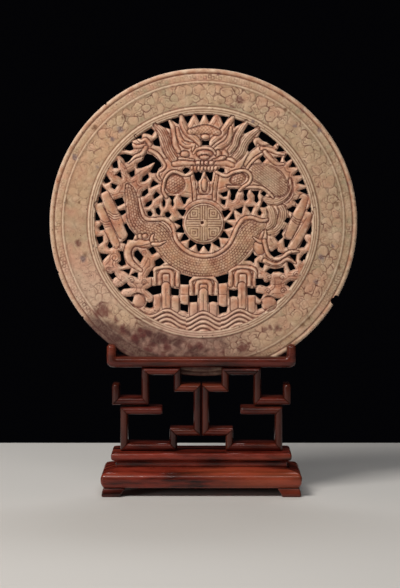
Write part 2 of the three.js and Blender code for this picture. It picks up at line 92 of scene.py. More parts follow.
HOLES = """
-60 88, -60 82, -68 81, -51 92, -47.5 89, -50 85, -56 87
-43.5 96, -34.5 99.6, -31.5 91, -38 92.5
-32 100.5, -23.3 103, -24 95.3
-19 103.5, -10.6 104.6, -15.3 95.4
-7.4 105, 0 105, -3.5 97.2
2.2 105, 10.4 105, 5.8 97.5
16.3 104, 24.5 103, 19.7 95
30.3 101, 39.5 98, 30.2 92.6
43.8 96, 51 92, 40.5 86.5, 38.8 88
56 89, 60 88, 71.7 78, 68 74, 62 78, 58 79.5, 53.5 83.5
74.5 76, 79.7 69.5, 71 69
82 67, 86.4 62.5, 80.5 58.5, 78.6 62
87.5 61, 91.4 54, 84 54
93 51.5, 96.4 46, 88.4 46
98 43.4, 99.8 36.3, 91.8 38.5
101 33.8, 103.2 26.8, 92.5 31
105 17.2, 107.4 9, 100.8 10.8
105.5 -1.5, 107.5 -8.5, 106.5 -12, 100.3 -11
-2 80.5, 2 79.5, 6.5 80.5, 5.5 78, 6 75, 2 75.5, -1.5 75, -1 78
48 80, 51 74, 44.5 68.5, 43 70.5, 44.2 76
57.5 66, 61 62, 57.5 58, 54.8 62
70 63.5, 76.5 64, 74.5 58
-43.8 84, -41.7 74, -48 75, -49.5 79
-55.2 67.4, -49.7 65.9, -45.4 62.3, -41.7 58.6, -40.5 54.9, -43.6 52.5, -45.4 48.2, -50.3 48.2, -52.1 49.5,
-49.1 54.9, -46.4 59.2, -50.9 57.4, -54 55.5, -60.7 53.1, -64.4 53.1, -64.4 57.4, -58.9 61, -57.6 64.7
-20.5 51, -18 53.5, -14.5 53.3, -12.8 51, -18 46.8
13.5 50.5, 17 53.8, 20.3 52.5, 20.8 49, 18 48.5
-9.6 49.5, -7 48.6, -5 50, -2.5 48.6, -0.4 49.5, -2.5 42.5, -5.6 39.4, -8 43
1.8 49, 4 50, 6 48.8, 9.8 50, 8.2 40.2, 6.5 40
-78 72, -70 79, -68 71, -72 70
-82 66, -76 67, -68 65, -72 60, -76 58, -78 62
-89 58, -84 61, -83 53, -88 53
-94.5 46, -90.2 40, -95.5 37.8, -97.8 41
-99 35.6, -94 31, -100 28.2
-89.8 38.5, -83.4 36.5, -86.5 32, -89.5 34
-81 50.3, -79.3 43, -85 46.5
-67 51.7, -73 48.5, -70.3 43.6, -67 46
-54 48, -53 44, -57 40, -60.4 40, -59 44.5
-49 41.5, -43 37.5, -51.5 34, -51 38
-54.3 33.5, -53.6 29, -57.5 25.5, -60.3 25.5, -59.6 30
-46 30.5, -42 27, -48 22.5, -49 26
-50 22, -50.5 18, -54 15.3, -57 15.5, -55.4 19.5
-38.5 24, -36.9 20, -37.2 16.5, -38.5 14.6, -39.8 16.5, -40.2 20
-34.5 26.3, -27.5 25.8, -29.5 22, -28.6 17.5, -30 15.2, -31.6 18, -31 22
-22.5 25.5, -14 24.3, -16.5 21.5, -17.3 18.5, -19 17.2, -20.4 20.5
-54.8 10.5, -51.5 11.6, -49.4 8.6, -51 5.6, -54 6.5
-46.8 13.5, -43.5 15, -41.6 11, -42.6 6.4, -46 9
-37.4 9.5, -34 11, -31.2 7.4, -34 4.4, -37 5.8
-101.5 26.4, -98 20, -103.5 18.2
-105.8 11, -103.5 9.4, -100.6 3.4, -101.5 1.8, -105.8 2
-79 24.8, -76.8 19, -84 15.4, -87.3 22
-83 11.3, -76.5 12.5, -75 10, -80 6.4
-98.5 -1.2, -96 -7, -101 -8, -102 -5
24 31, 16 28.5, 19.5 25, 23 25.6
17 23, 22 22, 21 16.4, 17.6 18.5
25.5 32.8, 34.4 32.8, 31.4 26.5, 31 23, 28.5 21, 26 23, 27.2 27.5
38.5 32, 44.3 32, 42.4 27, 43.4 23, 41 20.8, 38.7 23, 39.9 27
46.5 31, 54.5 31, 53 25.5, 54.2 21.5, 52 18.6, 49.7 21, 50.3 26
56 28, 58.5 31.2, 62 28.4, 59.5 24.8
58.5 21.8, 63 16.2, 59.5 14.6, 55.8 15.2
25 13, 23 6, 17.8 10.8
29.5 10.6, 31 2.8, 24.2 2.8
38.7 16, 37.5 8, 31.2 12.5
42.4 15.5, 49.2 15.5, 46.5 8.4
55 13, 57 9.5, 55.6 6.5, 53.4 7.5, 53.2 10.5
96.3 24.2, 88.5 21.5, 92.5 17.4
87 16, 91 15.3, 87.5 9, 81.2 12.5
81.5 5, 85.4 4, 82.7 -1.2, 78.7 1
-78 -2, -75 -0.8, -72.5 -5.5, -66.5 -12.2, -69 -17.5, -74 -16.8, -75 -21.5, -80 -19.5,
-76 -16.8, -73.5 -12, -76 -7
-104.8 -14, -98 -13, -97.8 -18.5, -102 -21.8
-91.8 -18, -88.2 -23.5, -91.5 -25.8, -94 -23
-101.8 -30, -92.5 -31, -98.8 -38
-82.5 -28, -78 -28, -77.4 -34, -75.5 -41, -80 -43, -83.5 -40, -80.5 -37, -81 -32
-64 -26.4, -58.5 -33.3, -61.5 -39.4, -67.5 -33, -67.5 -29
-80 -46.5, -71 -45, -72.5 -51, -76 -48.6
-66.5 -48.5, -63.8 -49, -64 -54.5, -71 -51.3
-92.8 -50, -90 -50.2, -87 -48.3, -86.6 -51, -84.5 -53, -87 -54, -88.5 -56.5, -90.4 -54
-52 -48, -49 -46.3, -48.5 -53.5, -55 -53.4
-54 -26, -49 -23.2, -45.3 -29, -50 -31.7
-42 -34.2, -37.5 -39, -43 -43, -47 -43, -47.3 -37.5
-23 -50, -10.3 -53.5, -14 -57, -14 -61, -22.5 -60.5
-75 -58.5, -73.5 -61, -70 -64, -78 -65, -82 -68.5, -85 -64, -80 -62.5
-76.3 -73, -67.5 -71.8, -69.5 -78.5
-56 -65.3, -50 -62, -41 -61, -41.3 -69.3, -49.5 -71.3
-55 -77.5, -52.5 -78.5, -49.3 -76.7, -49 -82.3, -52 -84, -56.5 -82.5
-31.7 -63.2, -28 -64.6, -23.6 -65, -24 -71.8, -31.5 -71
-22.5 -78.8, -18.5 -80.2, -14.8 -80, -15 -88.7, -18 -86.8, -22.5 -86
-14 -71, -9.5 -71.6, -5.4 -70.3, -6 -78, -13.8 -78.2
76 -6.5, 79 -6.5, 76.5 -11, 78 -14.5, 73 -18.8, 70 -14.5, 74 -10
78.5 -15.6, 85.2 -17.3, 82 -24.5, 79.5 -24.3
71.5 -25, 73 -28.5, 78 -30.5, 69 -34.2, 65.5 -31, 63.2 -27.3, 67 -28.5
98 -15, 101.3 -20, 98.5 -24.3, 93.5 -24.8
102.8 -28.5, 100.5 -37.5, 98 -36, 96.5 -38.8, 94.3 -36, 97.5 -31
83.3 -31, 91 -31, 90 -38.5, 86.5 -35
82 -37.8, 87 -40, 90.3 -45.5, 85 -47.3, 83 -43
48.5 -28, 50 -32, 53.5 -33, 50 -36, 49.5 -40.3, 46 -37.5, 41 -37, 46 -32
54 -38.5, 60 -40, 58 -45.3, 55 -43
65 -44.5, 70 -45.5, 78.5 -43.7, 79 -50, 74 -48, 68 -48.5, 66 -51, 61.3 -48
51 -54.5, 58 -55, 60 -58.5, 62 -58.5, 65 -57, 65 -61, 62 -63, 56 -61, 51.5 -62
80.6 -60.5, 85 -57, 91 -57.5, 86 -64.5
24.8 -49.6, 11 -53.5, 13.5 -56.5, 15 -60, 24 -59
4.8 -70.5, 9 -71.6, 13.5 -71, 14 -78.5, 9 -77.4, 5.2 -78.8
25 -65.5, 30 -66.3, 34 -65.5, 33.6 -73, 29 -72, 25.4 -73.5
42.8 -63.3, 46.5 -64.4, 51 -64, 51.5 -68.6, 59 -70, 56 -75.5, 50.5 -71.3, 43 -71.3
14.8 -81, 19.5 -82.3, 24 -81.7, 22.5 -88, 19 -88.4, 15.5 -90
52 -79.5, 54.5 -80.2, 56.5 -78.8, 57.3 -84, 55 -84.2, 53 -85.4
70 -74, 77 -74.5, 72.5 -80
"""
PEARL_CENTRE = (0.3, -0.5)
PEARL_RADIUS = 19.3
PEARL_HOLE_ANGLES = (153, 178, 197, 218, 240, 260, 280, 304, 329, 353, 24)

# One opening round the pearl: how far out, and how far to the side, its corners lie
PEARL_TOOTH = ((20.6, 3.4), (22.0, 3.6), (28.6, 0.5), (28.6, -0.5), (22.0, -3.6), (20.6, -3.4))


def read_outlines(text):
    """Rows of points. A line that ends with a comma goes on in the next one."""
    rows = text.replace(",\n", ", ").strip().splitlines()
    return [[tuple(map(float, point.split())) for point in row.split(",")] for row in rows]


def pearl_teeth():
    """Triangular openings that stand round the pearl, broad side inwards."""
    teeth = []
    for degrees in PEARL_HOLE_ANGLES:
        turn = math.radians(degrees)
        out = (math.cos(turn), math.sin(turn))
        side = (-out[1], out[0])
        corners = [(out[0] * r + side[0] * w, out[1] * r + side[1] * w) for r, w in PEARL_TOOTH]
        teeth.append([(x + PEARL_CENTRE[0], y + PEARL_CENTRE[1]) for x, y in corners])
    return teeth


# The height field: a square grid over the disc, in millimetres

GRID_STEP = 0.6
GRID_HALF = 252
GRID_SIDE = 2 * GRID_HALF + 1
AXIS = (np.arange(GRID_SIDE) - GRID_HALF) * GRID_STEP
GX, GY = np.meshgrid(AXIS, AXIS)
RADIUS = np.hypot(GX, GY)
ANGLE = np.degrees(np.arctan2(GY, GX)) % 360
OPENWORK_RADIUS = 106
CARVED = RADIUS < OPENWORK_RADIUS

# A distance beyond the reach of every line, and one beyond the reach of every edge
FAR = 9.0
BEYOND_ALL = 1e9
TINY = 1e-12


def bell(value):
    """A soft peak of one at zero."""
    return np.exp(-(value ** 2))


def window(points, margin):
    """The part of the grid round some points, as a pair of slices."""
    xs = [p[0] for p in points]
    ys = [p[1] for p in points]

    def span(low, high):
        first = int(math.floor((low - margin) / GRID_STEP)) + GRID_HALF
        last = int(math.ceil((high + margin) / GRID_STEP)) + GRID_HALF + 1
        return slice(max(0, first), min(GRID_SIDE, last))

    return span(min(ys), max(ys)), span(min(xs), max(xs))


def segment_distance(x, y, a, b):
    """Distance to a segment, the share along it, and the side of its line."""
    dx = b[0] - a[0]
    dy = b[1] - a[1]
    length2 = dx * dx + dy * dy + TINY
    share = np.clip(((x - a[0]) * dx + (y - a[1]) * dy) / length2, 0, 1)
    ox = x - a[0] - share * dx
    oy = y - a[1] - share * dy
    side = np.sign(dx * (y - a[1]) - dy * (x - a[0]))
    return np.hypot(ox, oy), share, side


def outline_distance(x, y, outline):
    """Signed distance to a closed outline: below zero inside it."""
    best = np.full(x.shape, BEYOND_ALL)
    inside = np.zeros(x.shape, bool)
    for a, b in zip(outline, outline[1:] + outline[:1]):
        best = np.minimum(best, segment_distance(x, y, a, b)[0])
        crosses = (a[1] > y) != (b[1] > y)
        with np.errstate(divide="ignore", invalid="ignore"):
            at = (b[0] - a[0]) * (y - a[1]) / (b[1] - a[1] + TINY) + a[0]
        inside ^= crosses & (x < at)
    return np.where(inside, -best, best)


def blur(field, reach):
    """Gaussian blur with a spread of reach millimetres."""
    spread = reach / GRID_STEP
    half = int(math.ceil(2.6 * spread))
    weights = np.exp(-0.5 * (np.arange(-half, half + 1) / spread) ** 2)
    weights /= weights.sum()
    for axis in (0, 1):
        padded = np.pad(field, [(half, half) if k == axis else (0, 0) for k in (0, 1)], mode="edge")
        total = np.zeros_like(field)
        for k, weight in enumerate(weights):
            cut = [slice(None), slice(None)]
            cut[axis] = slice(k, k + field.shape[axis])
            total += weight * padded[tuple(cut)]
        field = total
    return field


def smooth_noise(seed, reach):
    """Soft seeded noise about one reach across, with a spread of one."""
    values = np.random.default_rng(seed).standard_normal(GX.shape)
    soft = blur(values, reach)
    return soft / soft.std()


def curve_through(points, step=1.6):
    """Catmull-Rom curve through points of x, y and half width."""
    knots = np.array([points[0]] + list(points) + [points[-1]], float)
    rows = []
    for k in range(1, len(knots) - 2):
        p0, p1, p2, p3 = knots[k - 1 : k + 3]
        count = max(2, int(np.hypot(*(p2 - p1)[:2]) / step))
        for t in np.linspace(0, 1, count, endpoint=False):
            square = (2 * p0 - 5 * p1 + 4 * p2 - p3) * t * t
            cube = (3 * p1 - p0 - 3 * p2 + p3) * t ** 3
            rows.append(0.5 * (2 * p1 + (p2 - p0) * t + square + cube))
    rows.append(knots[-2])
    return np.array(rows)


# Distance to the nearest hole, cut off where nothing depends on it any more
HOLE_REACH = 12.0
HOLE_FIELD = np.full(GX.shape, HOLE_REACH)


def cut_holes():
    for outline in read_outlines(HOLES) + pearl_teeth():
        part = window(outline, 6)
        distance = outline_distance(GX[part], GY[part], outline)
        HOLE_FIELD[part] = np.minimum(HOLE_FIELD[part], distance)


cut_holes()

# Outline of the whole disc, with its notch and nicks: x, y and radius

RIM_EASE = 0.05
RIM_NICKS = (
    (127.5, -76.5, 3.4), (129.5, -73.0, 2.2), (-142.6, -48.6, 1.6), (-118, -92.6, 1.2), (-95, 115.6, 1.0),
)


def solid_field():
    """Above zero where there is stone."""
    openwork = np.where(CARVED, blur(HOLE_FIELD, 0.45), HOLE_REACH)
    field = np.minimum(openwork, DISC_RADIUS - RIM_EASE - RADIUS)
    for x, y, size in RIM_NICKS:
        field = np.minimum(field, np.hypot(GX - x, GY - y) - size)
    return field


SOLID = solid_field()

# Heights of the front, from the middle plane: radius and height

WEB_FRONT = 2.4
RELIEF = 1.5
RING_PROFILE = (
    (0, 4.0), (105.9, 4.0), (106.2, 4.5), (106.9, 4.95), (107.6, 4.95), (108.2, 4.45), (108.8, 4.95),
    (109.8, 4.95), (110.4, 4.45), (111.0, 4.95), (112.3, 4.9), (113.0, 3.9), (113.7, 3.9), (114.3, 4.3),
    (135.6, 4.4), (136.2, 4.75), (137.7, 4.75), (138.2, 4.2), (138.7, 4.35), (144.5, 4.35), (145.0, 3.6),
    (145.5, 3.6), (146.0, 4.35), (147.4, 4.85), (148.8, 4.6), (149.6, 4.0), (150, 3.1),
)


def profile_heights(profile):
    radii, levels = zip(*profile)
    return np.interp(RADIUS, radii, levels)


# The fields that the carving writes: height, grooves, ink of lines, leaves, their tint, and tone of forms
HEIGHT = profile_heights(RING_PROFILE)
CUT = np.zeros(GX.shape)
LINES = np.zeros(GX.shape)
LOBES = np.zeros(GX.shape)
LOBE_TINT = np.zeros(GX.shape)
FORM_TONE = np.zeros(GX.shape)
WHOLE = (slice(None), slice(None))


def engrave(part, distance, depth, width, strength=1.0):
    """A soft groove along distance zero; LINES remembers it for the dark of the lines."""
    groove = bell(distance / width)
    CUT[part] = np.maximum(CUT[part], depth * groove)
    LINES[part] = np.maximum(LINES[part], strength * groove)


# Scroll band: a running vine, each bend a curl among overlapping round leaves

BAND_EDGES = (113.9, 135.8)
BAND_MIDDLE = 124.8
BAND_HALF = 10.3
BENDS = 26
BEND_LENGTH = 2 * math.pi * BAND_MIDDLE / BENDS
INNER_LEAF = (-5.0, 5.2)
OUTER_LEAF = (5.4, 4.4)
LEAF_TURNS = (90, 150, 212, 275, 338, 32)
LEAF_JITTER = 14
LEAF_REACH = (8.2, 6.8)
LEAF_SIZES = (4.0, 5.9)
CURL_RADIUS = 3.8
CURL_PITCH = 2.5
CURL_SHIFT = 1.8
WORN_ANGLE = 182


def clarity():
    """How well the shallow engraving has kept: clear at the top and right, worn away at the left."""
    worn = bell((ANGLE - WORN_ANGLE) / 34)
    return np.clip(1.0 - 0.8 * worn + 0.16 * smooth_noise(21, 9), 0.12, 1.0)


def leaf(px, py, angle, size):
    """Distance beyond one leaf's scalloped edge, and distance to the lines inside it."""
    cos = np.cos(angle)
    sin = np.sin(angle)
    beyond = np.hypot(px, py) - size - 0.5 * np.cos(5 * (np.arctan2(py, px) - angle))
    vein = np.abs(py * cos - px * sin) + np.where(px * cos + py * sin > 1, 0.3, FAR)
    arc = np.abs(np.hypot(px, py) - 0.55 * size) + np.where(px * sin > py * cos, 0.15, FAR)
    return beyond, np.minimum(vein, arc)


def engrave_scrolls(fade):
    near = (RADIUS > BAND_EDGES[0]) & (RADIUS < BAND_EDGES[1])
    along = np.radians(ANGLE[near]) * BAND_MIDDLE + 0.9 * smooth_noise(31, 2.6)[near]
    across = RADIUS[near] - BAND_MIDDLE + 0.7 * smooth_noise(32, 2.6)[near]
    bend = (along / BEND_LENGTH).astype(int) % BENDS
    sign = np.where(bend % 2 == 0, 1.0, -1.0)
    rng = np.random.default_rng(5)
    from_middle = along - (bend + 0.5) * BEND_LENGTH
    dx = from_middle - rng.uniform(-CURL_SHIFT, CURL_SHIFT, BENDS)[bend]
    dy = across * sign + 1.4
    edge = BEND_LENGTH / 2 - np.abs(from_middle)
    inner = np.hypot(edge, across - INNER_LEAF[0])
    outer = np.hypot(edge, across - OUTER_LEAF[0]) - OUTER_LEAF[1]
    groove = np.where(outer < 0, -outer, np.minimum(np.abs(inner - INNER_LEAF[1]), outer))
    lobe = np.where((outer < 0) | (inner < INNER_LEAF[1]), 1.0, 0.0)
    tint = np.where(outer < 0, -0.4, 0.0)
    for turn in LEAF_TURNS:
        jitter = rng.uniform(-LEAF_JITTER, LEAF_JITTER, BENDS)[bend]
        size = rng.uniform(*LEAF_SIZES, BENDS)[bend]
        tint_here = rng.uniform(-1, 1, BENDS)[bend]
        angle = np.radians(turn + jitter)
        px = dx - LEAF_REACH[0] * np.cos(angle)
        py = dy - LEAF_REACH[1] * np.sin(angle) - 1.2
        beyond, lines = leaf(px, py, angle, size)
        groove = np.where(beyond < 0, np.minimum(-beyond, lines), np.minimum(groove, beyond))
        lobe = np.where(beyond < 0, 1.0, lobe)
        tint = np.where(beyond < 0, tint_here, tint)
    rho = np.hypot(dx, dy - 1.0)
    phi = np.arctan2(dy - 1.0, dx)
    spiral = (rho - CURL_PITCH * phi / (2 * math.pi)) % CURL_PITCH
    spiral = np.minimum(spiral, CURL_PITCH - spiral) + 0.5
    to_rim = np.abs(rho - CURL_RADIUS)
    curled = np.where(rho < CURL_RADIUS - 0.4, np.minimum(spiral, to_rim), to_rim)
    groove = np.where(rho < CURL_RADIUS, curled, np.minimum(groove, curled))
    lobe = np.where(rho < CURL_RADIUS, 0.8, lobe)
    inside = np.clip((BAND_HALF - np.abs(across)) / 0.8, 0, 1)
    kept = fade[near] * np.clip(0.75 + 0.45 * smooth_noise(33, 1.8)[near], 0, 1)
    depth = bell(groove / 0.44) * inside * kept
    HEIGHT[near] += 0.06 * lobe * inside * np.clip(groove / 1.2, 0, 1)
    CUT[near] = 0.30 * depth
    LINES[near] = 0.8 * depth
    LOBES[near] = lobe * inside * fade[near]
    LOBE_TINT[near] = tint


# Fret band: a key fret, each cell half a turn about its own middle, clearest at the lower left

FRET_EDGES = (138.6, 144.7)
FRET_MIDDLE = 141.7
FRET_CELLS = 118
FRET_PATH = ((0, 0), (0, 2.1), (2.9, 2.1), (2.9, -0.8), (1.4, -0.8))
FRET_CLEAREST = 232


def engrave_fret_band():
    near = (RADIUS > FRET_EDGES[0]) & (RADIUS < FRET_EDGES[1])
    turn = ANGLE[near] / 360 * FRET_CELLS
    pitch = 2 * math.pi * FRET_MIDDLE / FRET_CELLS
    u = (turn % 1 - 0.5) * pitch
    v = RADIUS[near] - FRET_MIDDLE
    path = np.full(u.shape, FAR)
    for side in (1, -1):
        for a, b in zip(FRET_PATH[:-1], FRET_PATH[1:]):
            path = np.minimum(path, segment_distance(side * u, side * v, a, b)[0])
    clear = bell((ANGLE[near] - FRET_CLEAREST) / 26)
    strength = np.clip(0.34 + 0.75 * clear + 0.25 * smooth_noise(22, 3)[near], 0, 1)
    depth = strength * bell(path / 0.5)
    CUT[near] = 0.32 * depth
    LINES[near] = 0.75 * depth
    LOBES[near] = 0.8 * (np.floor(turn * 2) % 2) * np.clip(1 - clear, 0, 1)


# Raised carving, laid on in order, each form over the ones before it.
# A texture gives the depth of its cuts at s along a band and v across it.

def lattice(value, pitch, width=0.4):
    """Cuts at every whole pitch."""
    off = np.abs((value / pitch) % 1 - 0.5)
    return bell((0.5 - off) * pitch / width)


def bricks(s, v, pitch, length, shift, share=1.0):
    """Rows of cuts, and shorter cuts between them that shift from row to row."""
    row = np.floor(v / pitch)
    return 0.85 * np.maximum(lattice(v, pitch), share * lattice(s + shift * (row % 2), length))


def scales(s, v):
    return bricks(s, v, 2.4, 3.0, 1.5)


def hatch(s, v):
    return bricks(s, v, 2.0, 3.4, 1.7, 0.6)


def weave(s, v):
    return 0.7 * np.maximum(lattice(s + v, 3.4, 0.42), lattice(s - v, 3.4, 0.42))


def hair(s, v):
    return lattice(v + 1.0, 2.0, 0.45)


def plain(s, v):
    return 0 * v


BANDS = {"band": plain, "hair": hair, "weave": weave}
EDGE_CUT = 0.9
FORM_CUT = 0.36
FORM_INK = 0.8
FOOT_DEPTH = 0.7
FOOT_WIDTH = 0.6
DOME_CROWN = 0.8


def lay(part, beyond, share, rise, cuts, crown, tone):
    """Sets one form down on the openwork, with its own cuts and a groove round its foot."""
    inside = beyond < 0
    dome_height = WEB_FRONT + RELIEF * rise * (1 - crown * np.clip(share, 0, 1) ** 2.4)
    cuts = cuts * np.clip(-beyond / EDGE_CUT, 0, 1)
    HEIGHT[part] = np.where(inside, dome_height, HEIGHT[part])
    CUT[part] = np.where(inside, FORM_CUT * cuts, CUT[part])
    LINES[part] = np.where(inside, FORM_INK * cuts, LINES[part])
    FORM_TONE[part] = np.where(inside, tone, FORM_TONE[part])
    foot = np.where(beyond > -0.2, np.abs(beyond - 0.3), FAR)
    engrave(part, foot, FOOT_DEPTH, FOOT_WIDTH)


def stroke(points, texture, rise, crown=0.7, tone=0.3, rim=0.0, rows=None):
    """A rounded band through points of x, y and half width. rim cuts a line inside both edges;
    rows turns the texture to a fixed angle instead of along the band."""
    knots = curve_through(points)
    part = window([tuple(k[:2]) for k in knots], knots[:, 2].max() + 3)
    x = GX[part]
    y = GY[part]
    best = np.full(x.shape, BEYOND_ALL)
    half = run = offset = np.ones(x.shape)
    start = 0.0
    for a, b in zip(knots[:-1], knots[1:]):
        distance, share, side = segment_distance(x, y, a, b)
        closer = distance < best
        length = math.hypot(b[0] - a[0], b[1] - a[1])
        best = np.where(closer, distance, best)
        half = np.where(closer, a[2] + (b[2] - a[2]) * share, half)
        run = np.where(closer, start + share * length, run)
        offset = np.where(closer, side * distance, offset)
        start += length
    cuts = texture(run, offset)
    if rows is not None:
        cos = math.cos(math.radians(rows))
        sin = math.sin(math.radians(rows))
        cuts = texture(x * cos + y * sin, y * cos - x * sin)
    lay(part, best - half, best / half, rise, cuts, crown, tone)
    if rim:
        groove = np.where(best < half, np.abs(half - best - rim), FAR)
        engrave(part, groove, 0.4, 0.42)


def dome(x, y, rx, ry, rise, turn=0.0, tone=0.3, texture=plain):
    part = window([(x - rx, y - ry), (x + rx, y + ry)], 3 + abs(rx - ry))
    cos = math.cos(math.radians(turn))
    sin = math.sin(math.radians(turn))
    dx = (GX[part] - x) * cos + (GY[part] - y) * sin
    dy = (GY[part] - y) * cos - (GX[part] - x) * sin
    share = np.hypot(dx / rx, dy / ry)
    lay(part, (share - 1) * min(rx, ry), share, rise, texture(dx, dy), DOME_CROWN, tone)


def scaly_dome(*settings):
    dome(*settings, texture=scales)


def line(points, depth, width):
    """A line cut along a curve."""
    knots = curve_through([(x, y, 1) for x, y in points])
    part = window([tuple(k[:2]) for k in knots], 2 + 2 * width)
    best = np.full(GX[part].shape, FAR)
    for a, b in zip(knots[:-1], knots[1:]):
        best = np.minimum(best, segment_distance(GX[part], GY[part], a, b)[0])
    engrave(part, best, depth, width)


def web():
    """Ground of the openwork: ribs that swell between the holes."""
    ribs = np.sin(np.clip(HOLE_FIELD / 2.6, 0, 1) * math.pi / 2)
    HEIGHT[CARVED] = (WEB_FRONT + 0.2 + 1.7 * ribs)[CARVED]


def leaf_lines():
    """Lines that follow the edges of the holes, as the vine and clouds between them do."""
    inside = RADIUS < OPENWORK_RADIUS - 1.5
    distance = np.where(inside, np.abs(HOLE_FIELD - 2.5), FAR)
    wide = np.where(inside & (HOLE_FIELD > 4.2), np.abs(HOLE_FIELD - 4.9), FAR)
    engrave(WHOLE, distance, 0.22, 0.5, 0.4)
    engrave(WHOLE, wide, 0.3, 0.5, 0.6)


def swell(x, y, rx, ry, rise=0.9):
    """A soft rise without an edge of its own."""
    part = window([(x - rx, y - ry), (x + rx, y + ry)], 6)
    HEIGHT[part] += rise * np.exp(-(((GX[part] - x) / rx) ** 2 + ((GY[part] - y) / ry) ** 2))


def curl(x, y, reach, start, way, turns):
    """A spiral line, from its outer end inwards."""
    points = []
    for k in range(14):
        share = k / 13
        angle = math.radians(start) + way * share * turns * 2 * math.pi
        radius = reach * (1 - 0.8 * share)
        points.append((x + radius * math.cos(angle), y + radius * math.sin(angle)))
    line(points, 0.5, 0.45)


SINGLE_FORMS = {"dome": dome, "scaly_dome": scaly_dome, "swell": swell, "curl": curl}


def carve(table):
    """Carves the rows of a table in order: the kind of form with its settings, a colon, and the points."""
    for row in table.replace(",\n", ", ").strip().splitlines():
        head, points = row.split(":")
        kind, *settings = head.split()
        settings = [float(value) for value in settings]
        points = read_outlines(points)[0]
        if kind in BANDS:
            stroke(points, BANDS[kind], *settings)
        elif kind == "cut":
            line(points, *settings)
        else:
            for point in points:
                SINGLE_FORMS[kind](*point, *settings)


# Tables of the carving. band, hair and weave: rise, crown, tone and rim, then points of x, y and half width.
# cut: depth and width, then points. dome and scaly_dome: rise, turn and tone, then x, y and half sizes.
# swell: x, y and half sizes. curl: x, y, reach, start in degrees, way round and number of turns.
# A line that ends with a comma goes on in the next one.

SCROLL_ROLLS = """
band 1.1 0.45: -102.5 17 3.6, -97.5 5 4.1, -91 -9 4.1, -85 -21.5 3.6
band 1.3 0.45: -95.5 26.5 4.2, -91 16 5, -84.5 2 5.2, -78.5 -11.5 4.6
band 1.15 0.5: 97.5 23.5 4.4, 94 13 5, 89 -1 5, 84 -12 4.4
band 1.4 0.4: 102.8 9 3.8, 97.5 -5 4.3, 91.5 -16.5 4.3, 86.5 -24.5 3.8
cut 0.35 0.35: 100.5 5, 93.5 -7, 86 -19
"""
ROLL_TIES = """
-92.5 11.5, -87 7.8, -81.5 9
-100.5 3, -96 0.2, -91.5 1
85.5 8, 90.5 3.6, 96 2.4
"""
TIE_SLIDES = (0, 2.4, 4.8)
CLOUDS = """
swell: -94 -44 5 3.4, -88 -46.5 6 3.4, -78 -53 6 4, -66 -58.5 7 4, -56 -58 6 4, -82 -59 4 3, -72 -68 6 3.6,
-62 -68 5 3.6, -92 -27.5 4 2.6, -57 -44 4 4, -58 -30 4 3.4, 60 -52 5 3.6, 70 -54 6 4, 81 -54 7 4,
91 -51 5 3.6, 58 -67 5 3.4, 69 -68 6 4, 80 -67 6 4, 94 -38 4 4, 70 -21 4 4
curl: -86.3 -34.4 5.2 200 -1 1.6, -80.6 -24.6 2.6 180 -1 1.3, -92.5 -46 3 40 1 1.3,
-70 -56.5 3.4 150 -1 1.3, -58 -58.5 3.2 20 1 1.3, -81 -60.5 2.6 90 1 1.3, -57.5 -29.5 3 200 -1 1.3,
64 -53 3 160 -1 1.3, 77 -53.5 3.4 20 1 1.3, 90.5 -50.5 3 60 1 1.3, 63 -67 3 170 -1 1.3,
78 -66.5 3.4 10 1 1.3
cut 0.4 0.4: 58 -58, 66 -60, 75 -60, 84 -57, 92 -55
cut 0.4 0.4: -88 -50.5, -80 -57, -70 -63, -58 -64
dome 1.35: -64 -76 7.2 7.2, 64 -79 7.2 7.2
"""
FLAMES = """
swell: -76 52 4 5, -88 49 5 3.4, -62 48 5 3.6, -54 54 4 3, -60 41 4 3, -87 29.5 6 3.4, -80 40 4 4,
-82 61 3 4
cut 0.4 0.36: -71 44, -75.5 54, -82 62.5
cut 0.4 0.36: -69 44, -60 50.5, -50 57
cut 0.4 0.36: -74 43, -82 49, -92 48.5
"""
